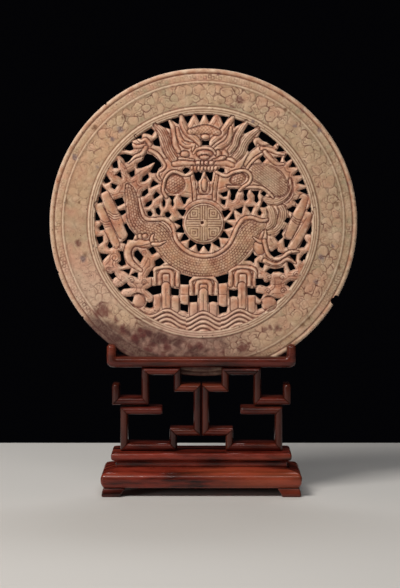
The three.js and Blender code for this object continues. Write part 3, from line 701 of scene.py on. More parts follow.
LIMBS = """
band 1.5: -47 -19.5 3.2, -57 -21 3.6, -68 -19.5 4, -73.5 -27 3.8, -71 -38 3.2, -61 -46.5 1.6
cut 0.45 0.4: -50 -20, -60 -22.5, -68 -24, -70.5 -31, -67 -39
dome 1.2: -66 -14.5 2.8 2.4, -61.5 -13.2 2.8 2.4, -57 -13 2.8 2.4
band 1.7: -48.5 -20.5 2.2, -50.5 -15.5 1.7, -48.6 -11.5 0.7
band 1.7: -49 -21 2, -43 -21 1.8, -37 -18.5 0.7
dome 1.3 20: 54.5 -24.5 5.4 7
band 1.75: 59 -18 2.6, 60.5 -13 1.7, 60.6 -7.5 0.7
band 1.75: 59 -18.5 2.4, 54 -18 1.6, 49 -14.5 0.7
band 1.65: 59.5 -18 2.2, 61.5 -26 2, 64.5 -32.5 2, 70.5 -35.4 1.9, 77 -34.4 1.9, 84 -28.8 1.8, 93 -28.4 0.8
band 1.45: 60 -37.5 2.6, 67 -40.5 2.2, 74 -40.6 2, 81.5 -35.6 1.9, 90 -39.5 0.8
cut 0.4 0.4: 61 -39, 70 -42.2, 78 -39.5
band 1.35: -37 66 4, -45 71 3.6, -52 73.5 3.2, -59 75 2.4
band 1.4: -52 76 2, -56 81 1.8, -61 79.5 1.4, -66 84.5 0.8
band 1.5: -57 75 2, -66 74 2, -70 76 1.6, -77 71.5 0.8
band 1.45: -56 73 2.2, -60 67 2.2, -67 64 1.6, -73 58.5 0.8
band 1.35: -52 70.5 1.8, -45 66.5 1.8, -40 60 1.7, -37.5 55 1.6, -40 51.5 1.5, -44 49.5 1.4, -44.5 45.5 1.3,
-42 41.5 1
band 1.3: 43 57 3.4, 47 63 4.2, 53 69 4, 57 73 3
band 1.4: 49 74 1.8, 52 80.5 2.4, 58 77 2.2, 66 77.5 1.7, 72 72.5 0.9
band 1.45: 57 72 2, 65 71 2.2, 72 68 1.8, 79 66.5 0.9
band 1.3: 60 69 2, 65 63 2.2, 71 57.5 1.8, 78 57 1.2
band 1.55: 57 66.5 1.4, 50.4 62.3 1.5, 44.8 56.2 1.5, 41.5 50.5 1.4
"""
MANE = """
hair 1.45 0.75: -47 95 1.6, -41 89 4.6, -36.5 79 5.4, -33.5 70 5.4, -28.5 62 4.2
hair 1.45 0.75: 52.5 91 2.4, 46 85.5 4.4, 39.5 77.5 4.8, 36 68.5 4.8, 29 61 3.8
hair 1.45 0.75: 42 98 1.8, 37.5 91.5 3.4, 33 84 3.6, 30.6 75.5 3.4, 25.5 69 2.4
band 1.45 0.75: -33 99 1.2, -29.5 92 2.6, -28 83 2.8, -27 75 2.8, -23.5 69 2
band 1.45 0.75: -21.5 102.5 2.6, -18.5 92 3.2, -13 85.5 3.2, -7 81 3, -3.6 76.5 2
band 1.45 0.75: 28 101.5 2.6, 21.5 92 3.6, 15.5 85 3.6, 9.5 80 3, 7 76 1.8
band 1.45 0.75: -25.5 92 1.4, -23.4 83 2.4, -20 77.5 3, -14 75 3.4, -9.4 75.5 2, -10.5 69.5 1
band 1.45 0.75: 26.8 92.5 1.4, 26 84 2.6, 22.5 77.5 3, 17 74 3.2, 11.5 71.5 1.6
cut 0.3 0.35: -20.5 98, -17 90, -10 84, -5 79
cut 0.3 0.35: 26 98, 20 90, 13 83, 8 78.5
cut 0.4 0.4: -21 79.5, -17.5 76.5, -12 76.5
cut 0.4 0.4: 24 80, 20 76, 14 73.6
"""
UPPER_FACE = """
weave 1.35 0.7 0.5: -13 88.5 2.6, -6 89.5 4, 1 90.5 4.6, 8 89.5 4.2, 14.5 87.5 3
dome 1.5: 1.9 83.6 4.2 2.5, -18 66.6 4.4 3.4
dome 1.45: 14.3 67.2 2.9 3.6
dome 1.5 28: 21.2 66.6 2.9 4.6
dome 1.35 -20: 26.8 60.2 5.2 3.2
weave 1.4: 10 60 2, 13.5 59.6 3, 17.5 62 3, 20.5 63.4 1.6
band 1.3: -9 60.4 1, -16 61.4 1.5, -23.5 62.4 1.2
band 1.35: -9.4 67.5 1.2, -6.5 71 1.5, 1 72.6 1.7, 8.6 71 1.5, 11.4 67 1.2
dome 1.6: 1.2 66.8 8 4
dome 1.7: 1.2 63.6 5 2.4
cut 0.9 0.6: -1.6 66.6, -1.2 65.4
cut 0.9 0.6: 3.4 66.6, 3.8 65.4
band 1.1: -28 57 2.6, -20 58 2.8, -10 57.6 2, 2 56.6 1.6, 12 57.5 2, 22 58 2.8, 28 56 2.4
dome 1.65: -4.6 58.2 3 2.3, -0.8 58.2 1.7 2.3, 3.2 58.2 2.5 2.3, 7.8 58.2 2.6 2.3
cut 0.6 0.6: -14 60.6, 2 60.4, 16 60.4
"""
LOWER_FACE = """
band 1.05: 1 48.5 1.1, 0.6 44 2.2, 0.4 39 5.2, 0.6 33 6.2
dome 1.4: 1 37 2.8 6.6
cut 0.5 0.5: -6 37, -4 33, -5.4 30
cut 0.5 0.5: 7.5 38, 5.4 34, 7 30
band 1.3 0.3: -7.5 24.5 2.4, 1.5 24.2 2.6, 10.5 24.6 2.4
cut 0.6 0.6: -8 21.2, 1 20.9, 10.5 21.2
cut 0.5 0.5: -8 28, 1 27.7, 10 28
"""
CHEEKS = """
scaly_dome 1.35 35 0.45: -27.5 37.5 9.6 9.4
cut 0.6 0.5: -37.5 28.4, -30 28, -20 28.6
scaly_dome 1.3 20 0.5: 33.5 42.4 7.6 5.4
cut 0.6 0.5: 22 37.2, 30 37, 40 35.6
"""
WHISKERS = """
-11 49, -15 46.6, -20 46.6, -24 48.6, -29 49.8, -34 47.2, -37.4 42, -38.8 36, -39.2 30.5, -36 25
13 49.2, 18 46.6, 23 45.6, 28.5 48.8, 35 50.4, 41 50.4, 45.4 47.2, 46.4 43, 44 38.4, 39 35, 35.5 31.5
"""
WHISKER_WIDTH = 1.6
TEETH = 8
TOOTH_SPACING = 3.3

# The muzzle's sides and where each edge starts, then the edge as steps inwards, heights and widths
MUZZLE_SIDES = ((-1, -11.2), (1, 13.6))
MUZZLE_EDGE = ((0, 46.5, 1.7), (1.6, 38, 1.8), (2.6, 29, 1.8), (2.8, 22, 1.8))
MUZZLE_LINE = ((0, 46), (1.6, 38), (2.7, 24))


def carve_ties():
    """Three cords round each roll of the front pairs."""
    for slide in TIE_SLIDES:
        for points in read_outlines(ROLL_TIES):
            line([(x, y - slide) for x, y in points], 0.5, 0.42)


def carve_face():
    carve(UPPER_FACE)
    for k in range(TEETH):
        dome(-11 + TOOTH_SPACING * k, 52.6 + 0.05 * (k - 3.5) ** 2, 1.8, 2.3, 1.25)
    carve(LOWER_FACE)
    for side, x in MUZZLE_SIDES:
        stroke([(x - side * inwards, y, width) for inwards, y, width in MUZZLE_EDGE], plain, 1.4)
        line([(x - side * inwards, y) for inwards, y in MUZZLE_LINE], 0.4, 0.35)
    carve(CHEEKS)
    for points in read_outlines(WHISKERS):
        stroke([(x, y, WHISKER_WIDTH) for x, y in points], plain, 1.75)


BODY_RADIUS = 42.5
BODY_WIDTH = 9.8
BODY_LEFT = "-73.5 36 2, -71.5 30 4.8, -68.6 15 6.4, -66.4 3 7, -58.5 -6 8.8, -46 -10.5 11.5"
BODY_RIGHT = "42.5 -12.5 11, 49 -5.5 9, 55 -2 6"
NECK = "42 51 5.5, 51 49 8.6, 60 46.5 10.2, 68 41 11.2, 74 34.5 9.5"
NECK_ROWS = -38
TUFTS = """
hair 1 0.7 0.6: 74 18 3, 78 11 4.6, 77 1 6, 71 -7 6, 63 -9 3.4
hair 1.2 0.7 0.6: 64 16 3, 67 8 4.4, 66 -1 4.6, 60 -5 3
"""
BODY_FOLD = """
band 1.35 0.6 0: -62.6 24 0.8, -60.8 14 1.5, -56.2 4.2 1.8, -47.3 3 1.9, -37.5 3.2 2, -29.6 -4 2,
-26.6 -16.6 1.9, -18.9 -25.8 1.9, -8.2 -31.4 1.9, 1.6 -32.6 1.9, 11.5 -31.2 1.9, 20.8 -25.6 1.9, 27 -18 2,
32.2 -6 2, 38.4 2.9 2, 46.6 5 1.8, 56.6 1.8 2, 62.5 2.8 1.2
"""
NECK_TURN = """
hair 1.2 0.7 0.3 0.8: 60 22 3, 66 21 4.4, 73 22 5, 80 27 5, 84 35 3.6, 84.5 42 1.6
cut 0.5 0.5: 86.5 42, 88 34, 87 25, 81 19, 72 16.6, 64 16
"""
NECK_EDGE = "band 1.5: 24 35 1.2, 38 34.6 1.5, 52 34.6 1.6, 58.5 33 1.6, 64.5 28.5 1.5, 68 24.5 1"


def carve_body():
    """The coiled body: scaled from the tuft at the left, under the pearl, to the ribbed neck."""
    turns = [math.radians(degrees) for degrees in range(214, 326, 9)]
    arc = [(BODY_RADIUS * math.cos(t), BODY_RADIUS * math.sin(t), BODY_WIDTH) for t in turns]
    left, right, neck = (read_outlines(text)[0] for text in (BODY_LEFT, BODY_RIGHT, NECK))
    carve(TUFTS)
    stroke(left + arc + right, scales, 1.35, 0.4, 1.0, 2.4)
    carve(BODY_FOLD)
    for tenths in range(2140, 3260, 24):
        turn = math.radians(tenths / 10)
        line([(r * math.cos(turn), r * math.sin(turn)) for r in (50.3, 51.9)], 0.3, 0.36)
    carve(NECK_TURN)
    stroke(neck, hatch, 1.45, 0.4, 0.9, 1.0, NECK_ROWS)
    carve(NECK_EDGE)


# Rocks: x, y and half width. Pillars: x and foot. Blocks: x, top, foot and half width.
ROCKS = ((-36.5, -52, 11.5), (38.5, -52, 12), (0.3, -62, 12.5))
ROCK_STEPS = ((1.0, 1.5), (0.52, 1.35))
ROCK_TONE = 0.1
PILLARS = ((-36.5, -82), (37.5, -82), (0, -88))
WIDE_BLOCKS = (-18.5, 19)
BLOCKS = (
    (-45.5, -73, -83, 3.2), (-27.5, -74.5, -85, 3.6), (30, -75.5, -84, 3.6), (47, -73, -85, 3.4),
    (-9.5, -80, -90, 3.6), (9.5, -80, -90, 3.6),
)


def carve_rocks():
    """Three stepped rocks over pillars and blocks."""
    for x, y, half in ROCKS:
        for scale, rise in ROCK_STEPS:
            reach = half * scale
            top = y + 7.5 * scale
            rising = [(-1, y - 9, 2.2), (-1, y - 2, 2.3), (-1, top - 3, 2.3), (-0.7, top, 2.3)]
            falling = [(-side, level, width) for side, level, width in reversed(rising)]
            cap = rising + [(0, top + 0.6, 2.3)] + falling
            stroke([(x + reach * side, level, w) for side, level, w in cap], plain, rise, tone=ROCK_TONE)
        outline = ((-half, -8), (-half, 3.5), (0, 7.8), (half, 3.5), (half, -8))
        line([(x + across, y + up) for across, up in outline], 0.35, 0.35)
    for x, foot in PILLARS:
        stroke([(x, foot + 20, 4), (x, foot + 12, 3.9), (x, foot, 3.9)], plain, 1.4, 0.3, ROCK_TONE)
        line([(x, foot + 18), (x, foot + 1)], 0.3, 0.35)
    for x in WIDE_BLOCKS:
        stroke([(x, -61, 4.2), (x, -66, 4), (x, -70, 4), (x, -79, 4)], plain, 1.3, 0.3, ROCK_TONE)
        line([(x - 4, -70), (x + 4, -70)], 0.4, 0.4)
    for x, top, foot, half in BLOCKS:
        stroke([(x, top, half), (x, foot, half)], plain, 1.2, 0.25, ROCK_TONE)


WAVE_PITCH = 35
WAVE_LEVEL = -88.5
WAVE_ROWS = 4.4


def carve_waves():
    """Stacked ridges that rise to three crests, under the rocks."""
    roll = 3.6 * np.cos(GX * 2 * math.pi / WAVE_PITCH) + 0.00085 * GX ** 2
    top = WAVE_LEVEL + roll - np.where(np.abs(GX) < WAVE_PITCH / 2 - 0.5, 1.2, 0)
    sea = (GY < top) & CARVED
    phase = (top - GY) / WAVE_ROWS
    ridge = 0.5 + 0.5 * np.cos(2 * math.pi * (phase - 0.42))
    HEIGHT[sea] = (3.1 + 1.7 * ridge ** 0.8)[sea]
    CUT[sea] = 0
    LINES[sea] = np.clip(1 - 2.4 * ridge, 0, 1)[sea]
    FORM_TONE[sea] = 0.2
    engrave(WHOLE, np.where(CARVED, np.abs(GY - top), FAR), 0.3, 0.5)


PEARL_FIELD = 17.2
PEARL_GROOVE = 17.4
PEARL_CROSS = 3.6
PEARL_CROSS_LINES = (1.2, 3.4)
FRET_SQUARE = 9.4
FRET_STEP = 2.5
COLLAR = (19.9, 23.2)
COLLAR_GROOVE = 23.5
PEARL_HOLE = (-1, 0, 1.5)


def carve_pearl():
    """The pearl: raised rim, four key-fret quarters, cross bands of three lines, small middle hole."""
    x = np.abs(GX - PEARL_CENTRE[0])
    y = np.abs(GY - PEARL_CENTRE[1])
    rho = np.hypot(x, y)
    nested = np.maximum(np.abs(x - FRET_SQUARE), np.abs(y - FRET_SQUARE))
    quarter = np.abs((nested / FRET_STEP) % 1 - 0.5) * FRET_STEP
    level = np.where((x > PEARL_CROSS) & (y > PEARL_CROSS), quarter, FAR)
    for offset in PEARL_CROSS_LINES:
        for across in (x, y):
            level = np.minimum(level, np.abs(across - offset) + np.where(rho < PEARL_CROSS, 5, 0))
    pearl = rho < PEARL_RADIUS
    cuts = bell(level / 0.48) * (rho < PEARL_FIELD)
    HEIGHT[pearl] = 4.6
    CUT[pearl] = 0.45 * cuts[pearl]
    LINES[pearl] = 0.75 * cuts[pearl]
    FORM_TONE[pearl] = 0.0
    engrave(WHOLE, rho - PEARL_GROOVE, 0.5, 0.45)
    engrave(WHOLE, rho - PEARL_RADIUS, 0.6, 0.6)
    collar = (rho > COLLAR[0]) & (rho < COLLAR[1]) & (GY > 9)
    HEIGHT[collar] = 4.5
    CUT[collar] = 0
    engrave(WHOLE, np.where(GY > 8, np.abs(rho - COLLAR_GROOVE), FAR), 0.6, 0.5)
    hole = np.hypot(GX - PEARL_HOLE[0], GY - PEARL_HOLE[1]) - PEARL_HOLE[2]
    HEIGHT[hole < 0] = 1.8
    LINES[hole < 0.4] = 1.0


def carve_front():
    web()
    leaf_lines()
    carve(SCROLL_ROLLS)
    carve_ties()
    carve(CLOUDS)
    carve(FLAMES)
    carve_rocks()
    carve_waves()
    carve_body()
    carve(LIMBS)
    carve(MANE)
    carve_face()
    carve_pearl()
    engrave_scrolls(clarity())
    engrave_fret_band()


CRACK = ((-67, -93), (-61, -94.6), (-57, -93.6), (-50, -97))
CHIPS = 46
CHIP_RADII = (149.6, 146.0, 139.6, 136.4, 112.6)
CHIP_SIZES = (0.8, 2.0)
CHIP_DEPTH = 0.55
LOWEST_FRONT = 1.2
HIGHEST_FRONT = 5.0


def wear_front():
    """Rounds the carving into the holes, and leaves small chips, a crack and a worn surface."""
    global HEIGHT
    tooling = 0.05 * smooth_noise(34, 0.8) + 0.05 * smooth_noise(35, 2.0)
    HEIGHT = blur(HEIGHT, 0.4) - CUT + tooling * np.where(CARVED, 1, 0.4)
    rounding = 1.3 * np.exp(-np.clip(SOLID, 0, 9) / 0.7)
    HEIGHT = np.where(CARVED, HEIGHT - rounding, HEIGHT)
    line(CRACK, 0.9, 0.8)
    rng = np.random.default_rng(11)
    for _ in range(CHIPS):
        turn = rng.uniform(0, 2 * math.pi)
        reach = rng.choice(CHIP_RADII)
        size = rng.uniform(*CHIP_SIZES)
        x = reach * math.cos(turn)
        y = reach * math.sin(turn)
        part = window([(x, y)], 5)
        distance = np.hypot(GX[part] - x, GY[part] - y)
        HEIGHT[part] -= CHIP_DEPTH * bell(distance / size)
    HEIGHT = np.clip(HEIGHT, LOWEST_FRONT, HIGHEST_FRONT)


carve_front()
wear_front()


# Heights of the back, plainer: the same mouldings, flat scroll field, and edges rounded into the holes

BACK_PROFILE = (
    (0, 3.1), (105.9, 3.1), (106.6, 4.7), (112.2, 4.9), (113.2, 4.3), (135.4, 4.3), (136.4, 4.8), (139, 4.8),
    (140, 4.35), (144.4, 4.35), (145.2, 3.9), (146.4, 4.5), (147.8, 4.8), (149.3, 4.1), (150, 3.1),
)


def back_heights():
    back = profile_heights(BACK_PROFILE)
    groove = bell((HOLE_FIELD - 2.6) / 0.6)
    return np.where(CARVED, back - 0.3 * groove - 1.1 * np.exp(-np.clip(SOLID, 0, 9) / 0.8), back)


BACK = back_heights()


# The disc's mesh: the grid inside the outline, front and back, and walls between them

EDGE_PULL = 0.45


def disc_mesh():
    cells = (SOLID[:-1, :-1] + SOLID[1:, :-1] + SOLID[:-1, 1:] + SOLID[1:, 1:]) > 0
    cells = keep_main(fill_corners(cells))
    used = corners_of(cells)
    full = np.zeros_like(used)
    full[1:-1, 1:-1] = cells[:-1, :-1] & cells[1:, :-1] & cells[:-1, 1:] & cells[1:, 1:]
    rim = used & ~full
    slope_y, slope_x = np.gradient(SOLID, GRID_STEP)
    steep = np.sqrt(slope_x ** 2 + slope_y ** 2 + 1e-6)
    reach = np.clip(SOLID / steep, -EDGE_PULL, EDGE_PULL) * rim
    px = GX - reach * slope_x / steep
    py = GY - reach * slope_y / steep
    number = np.cumsum(used.ravel()).reshape(used.shape) - 1
    count = int(used.sum())
    across = px[used] * MM
    level = py[used] * MM + DISC_LEVEL
    front = np.stack([across, -HEIGHT[used] * MM, level], 1)
    back = np.stack([across, BACK[used] * MM, level], 1)
    i, j = np.nonzero(cells)
    corners = [number[i, j], number[i, j + 1], number[i + 1, j + 1], number[i + 1, j]]
    faces = [np.stack(corners, 1), np.stack(corners[::-1], 1) + count] + walls(cells, number, count)
    return np.concatenate([front, back]), np.concatenate(faces)


def corners_of(cells):
    used = np.zeros((cells.shape[0] + 1, cells.shape[1] + 1), bool)
    used[:-1, :-1] |= cells
    used[1:, :-1] |= cells
    used[:-1, 1:] |= cells
    used[1:, 1:] |= cells
    return used


def fill_corners(cells):
    """Closes cells that would touch at a corner only."""
    for _ in range(3):
        a = cells[:-1, :-1]
        b = cells[:-1, 1:]
        c = cells[1:, :-1]
        d = cells[1:, 1:]
        first = a & d & ~b & ~c
        second = b & c & ~a & ~d
        cells = cells.copy()
        cells[:-1, 1:] |= first
        cells[:-1, :-1] |= second
    return cells


def keep_main(cells):
    """Keeps the stone that hangs together with the ring."""
    centre = (np.arange(cells.shape[0]) + 0.5 - GRID_HALF) * GRID_STEP
    cx, cy = np.meshgrid(centre, centre)
    kept = cells & (np.hypot(cx, cy) > OPENWORK_RADIUS + 2)
    while True:
        grown = kept.copy()
        grown[1:] |= kept[:-1]
        grown[:-1] |= kept[1:]
        grown[:, 1:] |= kept[:, :-1]
        grown[:, :-1] |= kept[:, 1:]
        grown &= cells
        if (grown == kept).all():
            return kept
        kept = grown


def walls(cells, number, count):
    """Side faces wherever a cell has no neighbour."""
    padded = np.pad(cells, 1)
    faces = []
    sides = (
        (padded[:-2, 1:-1], (0, 0), (0, 1)),
        (padded[2:, 1:-1], (1, 1), (1, 0)),
        (padded[1:-1, 2:], (0, 1), (1, 1)),
        (padded[1:-1, :-2], (1, 0), (0, 0)),
    )
    for neighbour, start, end in sides:
        i, j = np.nonzero(cells & ~neighbour)
        a = number[i + start[0], j + start[1]]
        b = number[i + end[0], j + end[1]]
        faces.append(np.stack([b, a, a + count, b + count], 1))
    return faces


def mesh_object(name, points, faces):
    mesh = bpy.data.meshes.new(name)
    mesh.from_pydata(points, [], faces)
    mesh.validate()
    mesh.update()
    return link_object(name, mesh)


def grid_object(name, points, quads):
    """A mesh object straight from arrays, quicker than from_pydata for large ones."""
    mesh = bpy.data.meshes.new(name)
    mesh.vertices.add(len(points))
    mesh.vertices.foreach_set("co", points.astype(np.float32).ravel())
    mesh.loops.add(quads.size)
    mesh.loops.foreach_set("vertex_index", quads.astype(np.int32).ravel())
    mesh.polygons.add(len(quads))
    mesh.polygons.foreach_set("loop_start", np.arange(0, quads.size, 4, dtype=np.int32))
    mesh.update(calc_edges=True)
    return link_object(name, mesh)


def apply_modifiers(made):
    bpy.context.view_layer.update()
    graph = bpy.context.evaluated_depsgraph_get()
    mesh = bpy.data.meshes.new_from_object(made.evaluated_get(graph))
    made.modifiers.clear()
    old = made.data
    made.data = mesh
    bpy.data.meshes.remove(old)


def shade(made, degrees):
    """Smooth shading, with edges sharper than an angle left crisp."""
    made.data.shade_smooth()
    made.data.set_sharp_from_angle(angle=math.radians(degrees))


DISC_TRIANGLES = 196000
BACK_TRIANGLES = 26000
DISC_CREASE = 50


def thin_out(made, ratio, group=""):
    thin = made.modifiers.new("thin", "DECIMATE")
    thin.ratio = ratio
    thin.vertex_group = group
    apply_modifiers(made)


def make_disc():
    """The carved disc, thinned out on its plain back first and then as a whole."""
    points, quads = disc_mesh()
    made = grid_object("carved_disc", points, quads)
    count = len(points) // 2
    back = made.vertex_groups.new(name="back")
    back.add(list(range(count, 2 * count)), 1.0, "REPLACE")
    half = len(quads)
    thin_out(made, (half + BACK_TRIANGLES) / (2 * half), "back")
    made.vertex_groups.clear()
    triangles = sum(len(p.vertices) - 2 for p in made.data.polygons)
    thin_out(made, DISC_TRIANGLES / triangles)
    shade(made, DISC_CREASE)
    return made


disc = make_disc()


# Colours of the stone, worked out on the grid and kept on the mesh as a colour layer

TAN = (0.54, 0.365, 0.222)
PALE = (0.76, 0.58, 0.42)
OLIVE = (0.37, 0.305, 0.19)
SALMON = (0.62, 0.30, 0.20)
YELLOW = (0.62, 0.43, 0.27)
AMBER = (0.74, 0.44, 0.23)
ORANGE = (0.66, 0.265, 0.14)
BODY = (0.57, 0.365, 0.21)
BRICK = (0.40, 0.13, 0.075)
DUSK = (0.28, 0.09, 0.055)
SAGE = (0.54, 0.415, 0.275)
GUMS = (0.50, 0.22, 0.21)
PEARL_TAN = (0.53, 0.385, 0.23)
CREST_HIGHLIGHT = (0.84, 0.57, 0.42)
PINK = (0.82, 0.58, 0.47)
# Pale colour of painted highlights: on the worn edges round the holes and along the rim's outer edge
SILVER = (0.82, 0.64, 0.53)
# Dark red-brown of the filled lines, also the colour of the painted shade in the hollows
DARK_FILL_AND_SHADE = (0.11, 0.026, 0.016)
GRIME = (0.26, 0.085, 0.05)
BROWN = (0.20, 0.080, 0.042)
STAIN = (0.070, 0.017, 0.016)
STAIN_EDGE = (0.58, 0.31, 0.28)
SHADE = (0.20, 0.14, 0.08)
MOULDING = (0.44, 0.225, 0.13)
LEAF_GROUND = (0.27, 0.19, 0.115)
RIM_ORANGE = (0.44, 0.165, 0.08)
RIM_LINE = (0.13, 0.040, 0.018)
SPOT_RED = (0.12, 0.022, 0.020)
SPOT_GREY = (0.17, 0.12, 0.13)
SPOT_BROWN = (0.15, 0.07, 0.03)

# Natural spots in the stone: x, y and radius in millimetres
RED_SPOTS = """
-50 112 2.2, -108 24 1.6, 35.5 120 4.2, 29 112.5 2, 97 109.5 2.2, 142 38 1.8, -122 -19 3.6, -98 -86 7,
-85 -95 4, -99 -80 3, -79 -104 4, -52 -122 5, -36 -123 5, -15.5 -119 4, -3 -120 3.4, 19 -126 3,
38 -122 4.5, 44 -119 2.4, 124 -4.5 1.5, 119 -7.5 1.5, 59 -105 2.2, 72 -104 3.2, 66 -103 2.4, -60 -108 5,
-68 -112 4, 15 145 1.8, -20 -8 1.6, 18 -22 1.4, 76 44 2, 62 2 2.2
"""
GREY_SPOTS = """
-80 90 3.4, -103 54 1.6, -125 64 3.2, -116 -36 3, 89 94 1.8, 113 90 2, 115 -34 3.4, 126 -23 1.4, 48 98 2,
64 42.5 2, -89 81 2.2, 110 -58 2
"""
BROWN_SPOTS = """
129 18 2.4, 107 28 2, -134 21 1.4, -121 20 1.4, -126 76 1.6, 16 116 1.5, 13 121 1.3, 7 135 1.4,
-115 -31 2.2, 103 -93 2, 97 -100 2.2, 114 -96 1.8, -105 92 3, -76 104 3, 30 128 2, 80 110 1.8,
-62 70 1.6, 132 -44 1.6, 90 -112 1.8
"""

# Soft ovals of one tint: strength, x, y and the two half sizes in millimetres
OLIVE_ZONES = "0.35 70 100 70 50, 0.45 128 0 30 80, 0.3 -60 118 60 26"
SALMON_ZONES = """
0.75 -122 -42 28 50, 0.5 -50 -56 40 24, 0.5 20 -70 60 22, 0.5 2 66 32 24, 0.45 80 -60 26 20,
0.5 104 -76 30 30, 0.35 -130 50 20 40, 0.3 -100 90 30 24, 0.4 -6 140 60 12
"""
AMBER_ZONES = "0.45 -92 72 20 28, 0.3 -122 40 12 30"
# Pink tint; the zone at the lower left is also painted light, brighter where more light falls
PINK_AND_LIGHT_ZONES = "0.55 -112 -66 28 30, 0.6 0 -94 60 14, 0.35 -74 -62 20 18"
DUSK_ZONES = """
0.75 -38 80 14 16, 0.4 -28 38 11 11, 0.5 -57 20 14 28, 0.4 -76 46 22 34, 0.25 4 62 34 14, 0.3 84 -56 18 16
"""
SAGE_ZONES = "0.85 38 76 13 18, 0.6 70 4 16 20, 0.85 62 42 17 12"
GUM_ZONES = "0.6 1.5 58 9 2.4"
STAIN_EDGE_ZONES = "0.6 -30 -120 70 20"

# Lines of the mouldings: pale ones with radius, width and share, brown ones by radius
PALE_RINGS = ((136.9, 0.7, 0.5), (107.2, 0.5, 0.8), (109.3, 0.5, 0.8), (111.7, 0.6, 0.8))
BROWN_RINGS = (113.4, 138.3, 108.2, 110.4, 135.9, 106.3)
BACK_RINGS = (113.3, 135.9, 145.3)
RIM_GROOVE = 145.25

# Zones of the ring by radius: where it starts, its inner mouldings, its scroll field, and the rim's parts
RING_START = 113
INNER_MOULDINGS = (105.8, 112.8)
SCROLL_FIELD = (114, 135.6)
RIM_START = 145.4
RIM_PALE_START = 149.0
RIM_END = 149.9
PALE_IN_STAIN = (145.0, 138.0)


def zones(text):
    """The summed shares of a table of soft ovals."""
    total = 0
    for strength, x, y, rx, ry in read_outlines(text)[0]:
        total = total + strength * np.exp(-(((GX - x) / rx) ** 2 + ((GY - y) / ry) ** 2))
    return total


def ring_line(radius, width):
    return bell((RADIUS - radius) / width)


def over(paint, share, colour):
    """Lays a colour over the paint by a share from 0 to 1."""
    share = np.clip(share, 0, 1)[..., None]
    return paint * (1 - share) + np.array(colour) * share


def ground_tints():
    """Broad patches on tan: olive at the top and right, salmon at the left, below and on the head."""
    paint = np.zeros((*GX.shape, 3)) + np.array(TAN)
    olive = 0.25 + zones(OLIVE_ZONES) + 0.26 * smooth_noise(43, 7) + 0.17 * smooth_noise(44, 2.4)
    paint = over(paint, olive * np.where(RADIUS > RING_START, 1, 0.35), OLIVE)
    pink = zones(SALMON_ZONES) + 0.22 * smooth_noise(42, 5) + 0.18 * smooth_noise(45, 1.6)
    paint = over(paint, pink, SALMON)
    return over(paint, 0.22 * smooth_noise(46, 3.2), PALE)


def ring_paint(paint):
    """Leaves of the scroll, the pale and brown lines of the mouldings, and the rim."""
    field = (RADIUS > SCROLL_FIELD[0]) & (RADIUS < SCROLL_FIELD[1])
    paint = over(paint, 0.34 * field * (1 - LOBES), LEAF_GROUND)
    paint = over(paint, LOBES * np.clip(0.36 + 0.2 * LOBE_TINT, 0, 0.6), YELLOW)
    paint = over(paint, LOBES * np.clip(0.16 - 0.26 * LOBE_TINT, 0, 0.42), SALMON)
    warm = np.clip(0.6 + 0.45 * np.sin(np.radians(ANGLE)) + 0.2 * smooth_noise(52, 5), 0.15, 1)
    rim = np.clip((RADIUS - RIM_START) / 0.5, 0, 1)
    paint = over(paint, rim * warm * np.clip(RIM_END - RADIUS, 0, 1), RIM_ORANGE)
    # Painted highlight: a pale band along the rim's outer edge
    paint = over(paint, rim * np.clip((RADIUS - RIM_PALE_START) / 0.8, 0, 1) * 0.8, SILVER)
    for radius, width, share in PALE_RINGS:
        paint = over(paint, share * ring_line(radius, width), PALE)
    for radius in BROWN_RINGS:
        paint = over(paint, 0.9 * ring_line(radius, 0.5), BROWN)
    return over(paint, 0.97 * ring_line(RIM_GROOVE, 0.55), RIM_LINE)


def openwork_paint(paint):
    """The warmer colours of the openwork: orange and brick, sage and dusky patches, pink waves, pink painted
    light at the lower left.
    """
    warm = 0.68 + 0.24 * smooth_noise(47, 3) + 0.16 * smooth_noise(53, 1.2)
    red = np.clip(0.20 + 0.26 * smooth_noise(59, 3.6), 0, 0.75)
    paint = over(paint, zones(AMBER_ZONES), AMBER)
    paint = over(paint, CARVED * warm, ORANGE)
    paint = over(paint, CARVED * 0.6 * np.clip(FORM_TONE, 0, 1), BODY)
    paint = over(paint, CARVED * red, BRICK)
    for text, colour in ((PINK_AND_LIGHT_ZONES, PINK), (DUSK_ZONES, DUSK), (SAGE_ZONES, SAGE), (GUM_ZONES, GUMS)):
        paint = over(paint, zones(text), colour)
    return over(paint, 0.75 * (RADIUS < PEARL_RADIUS), PEARL_TAN)


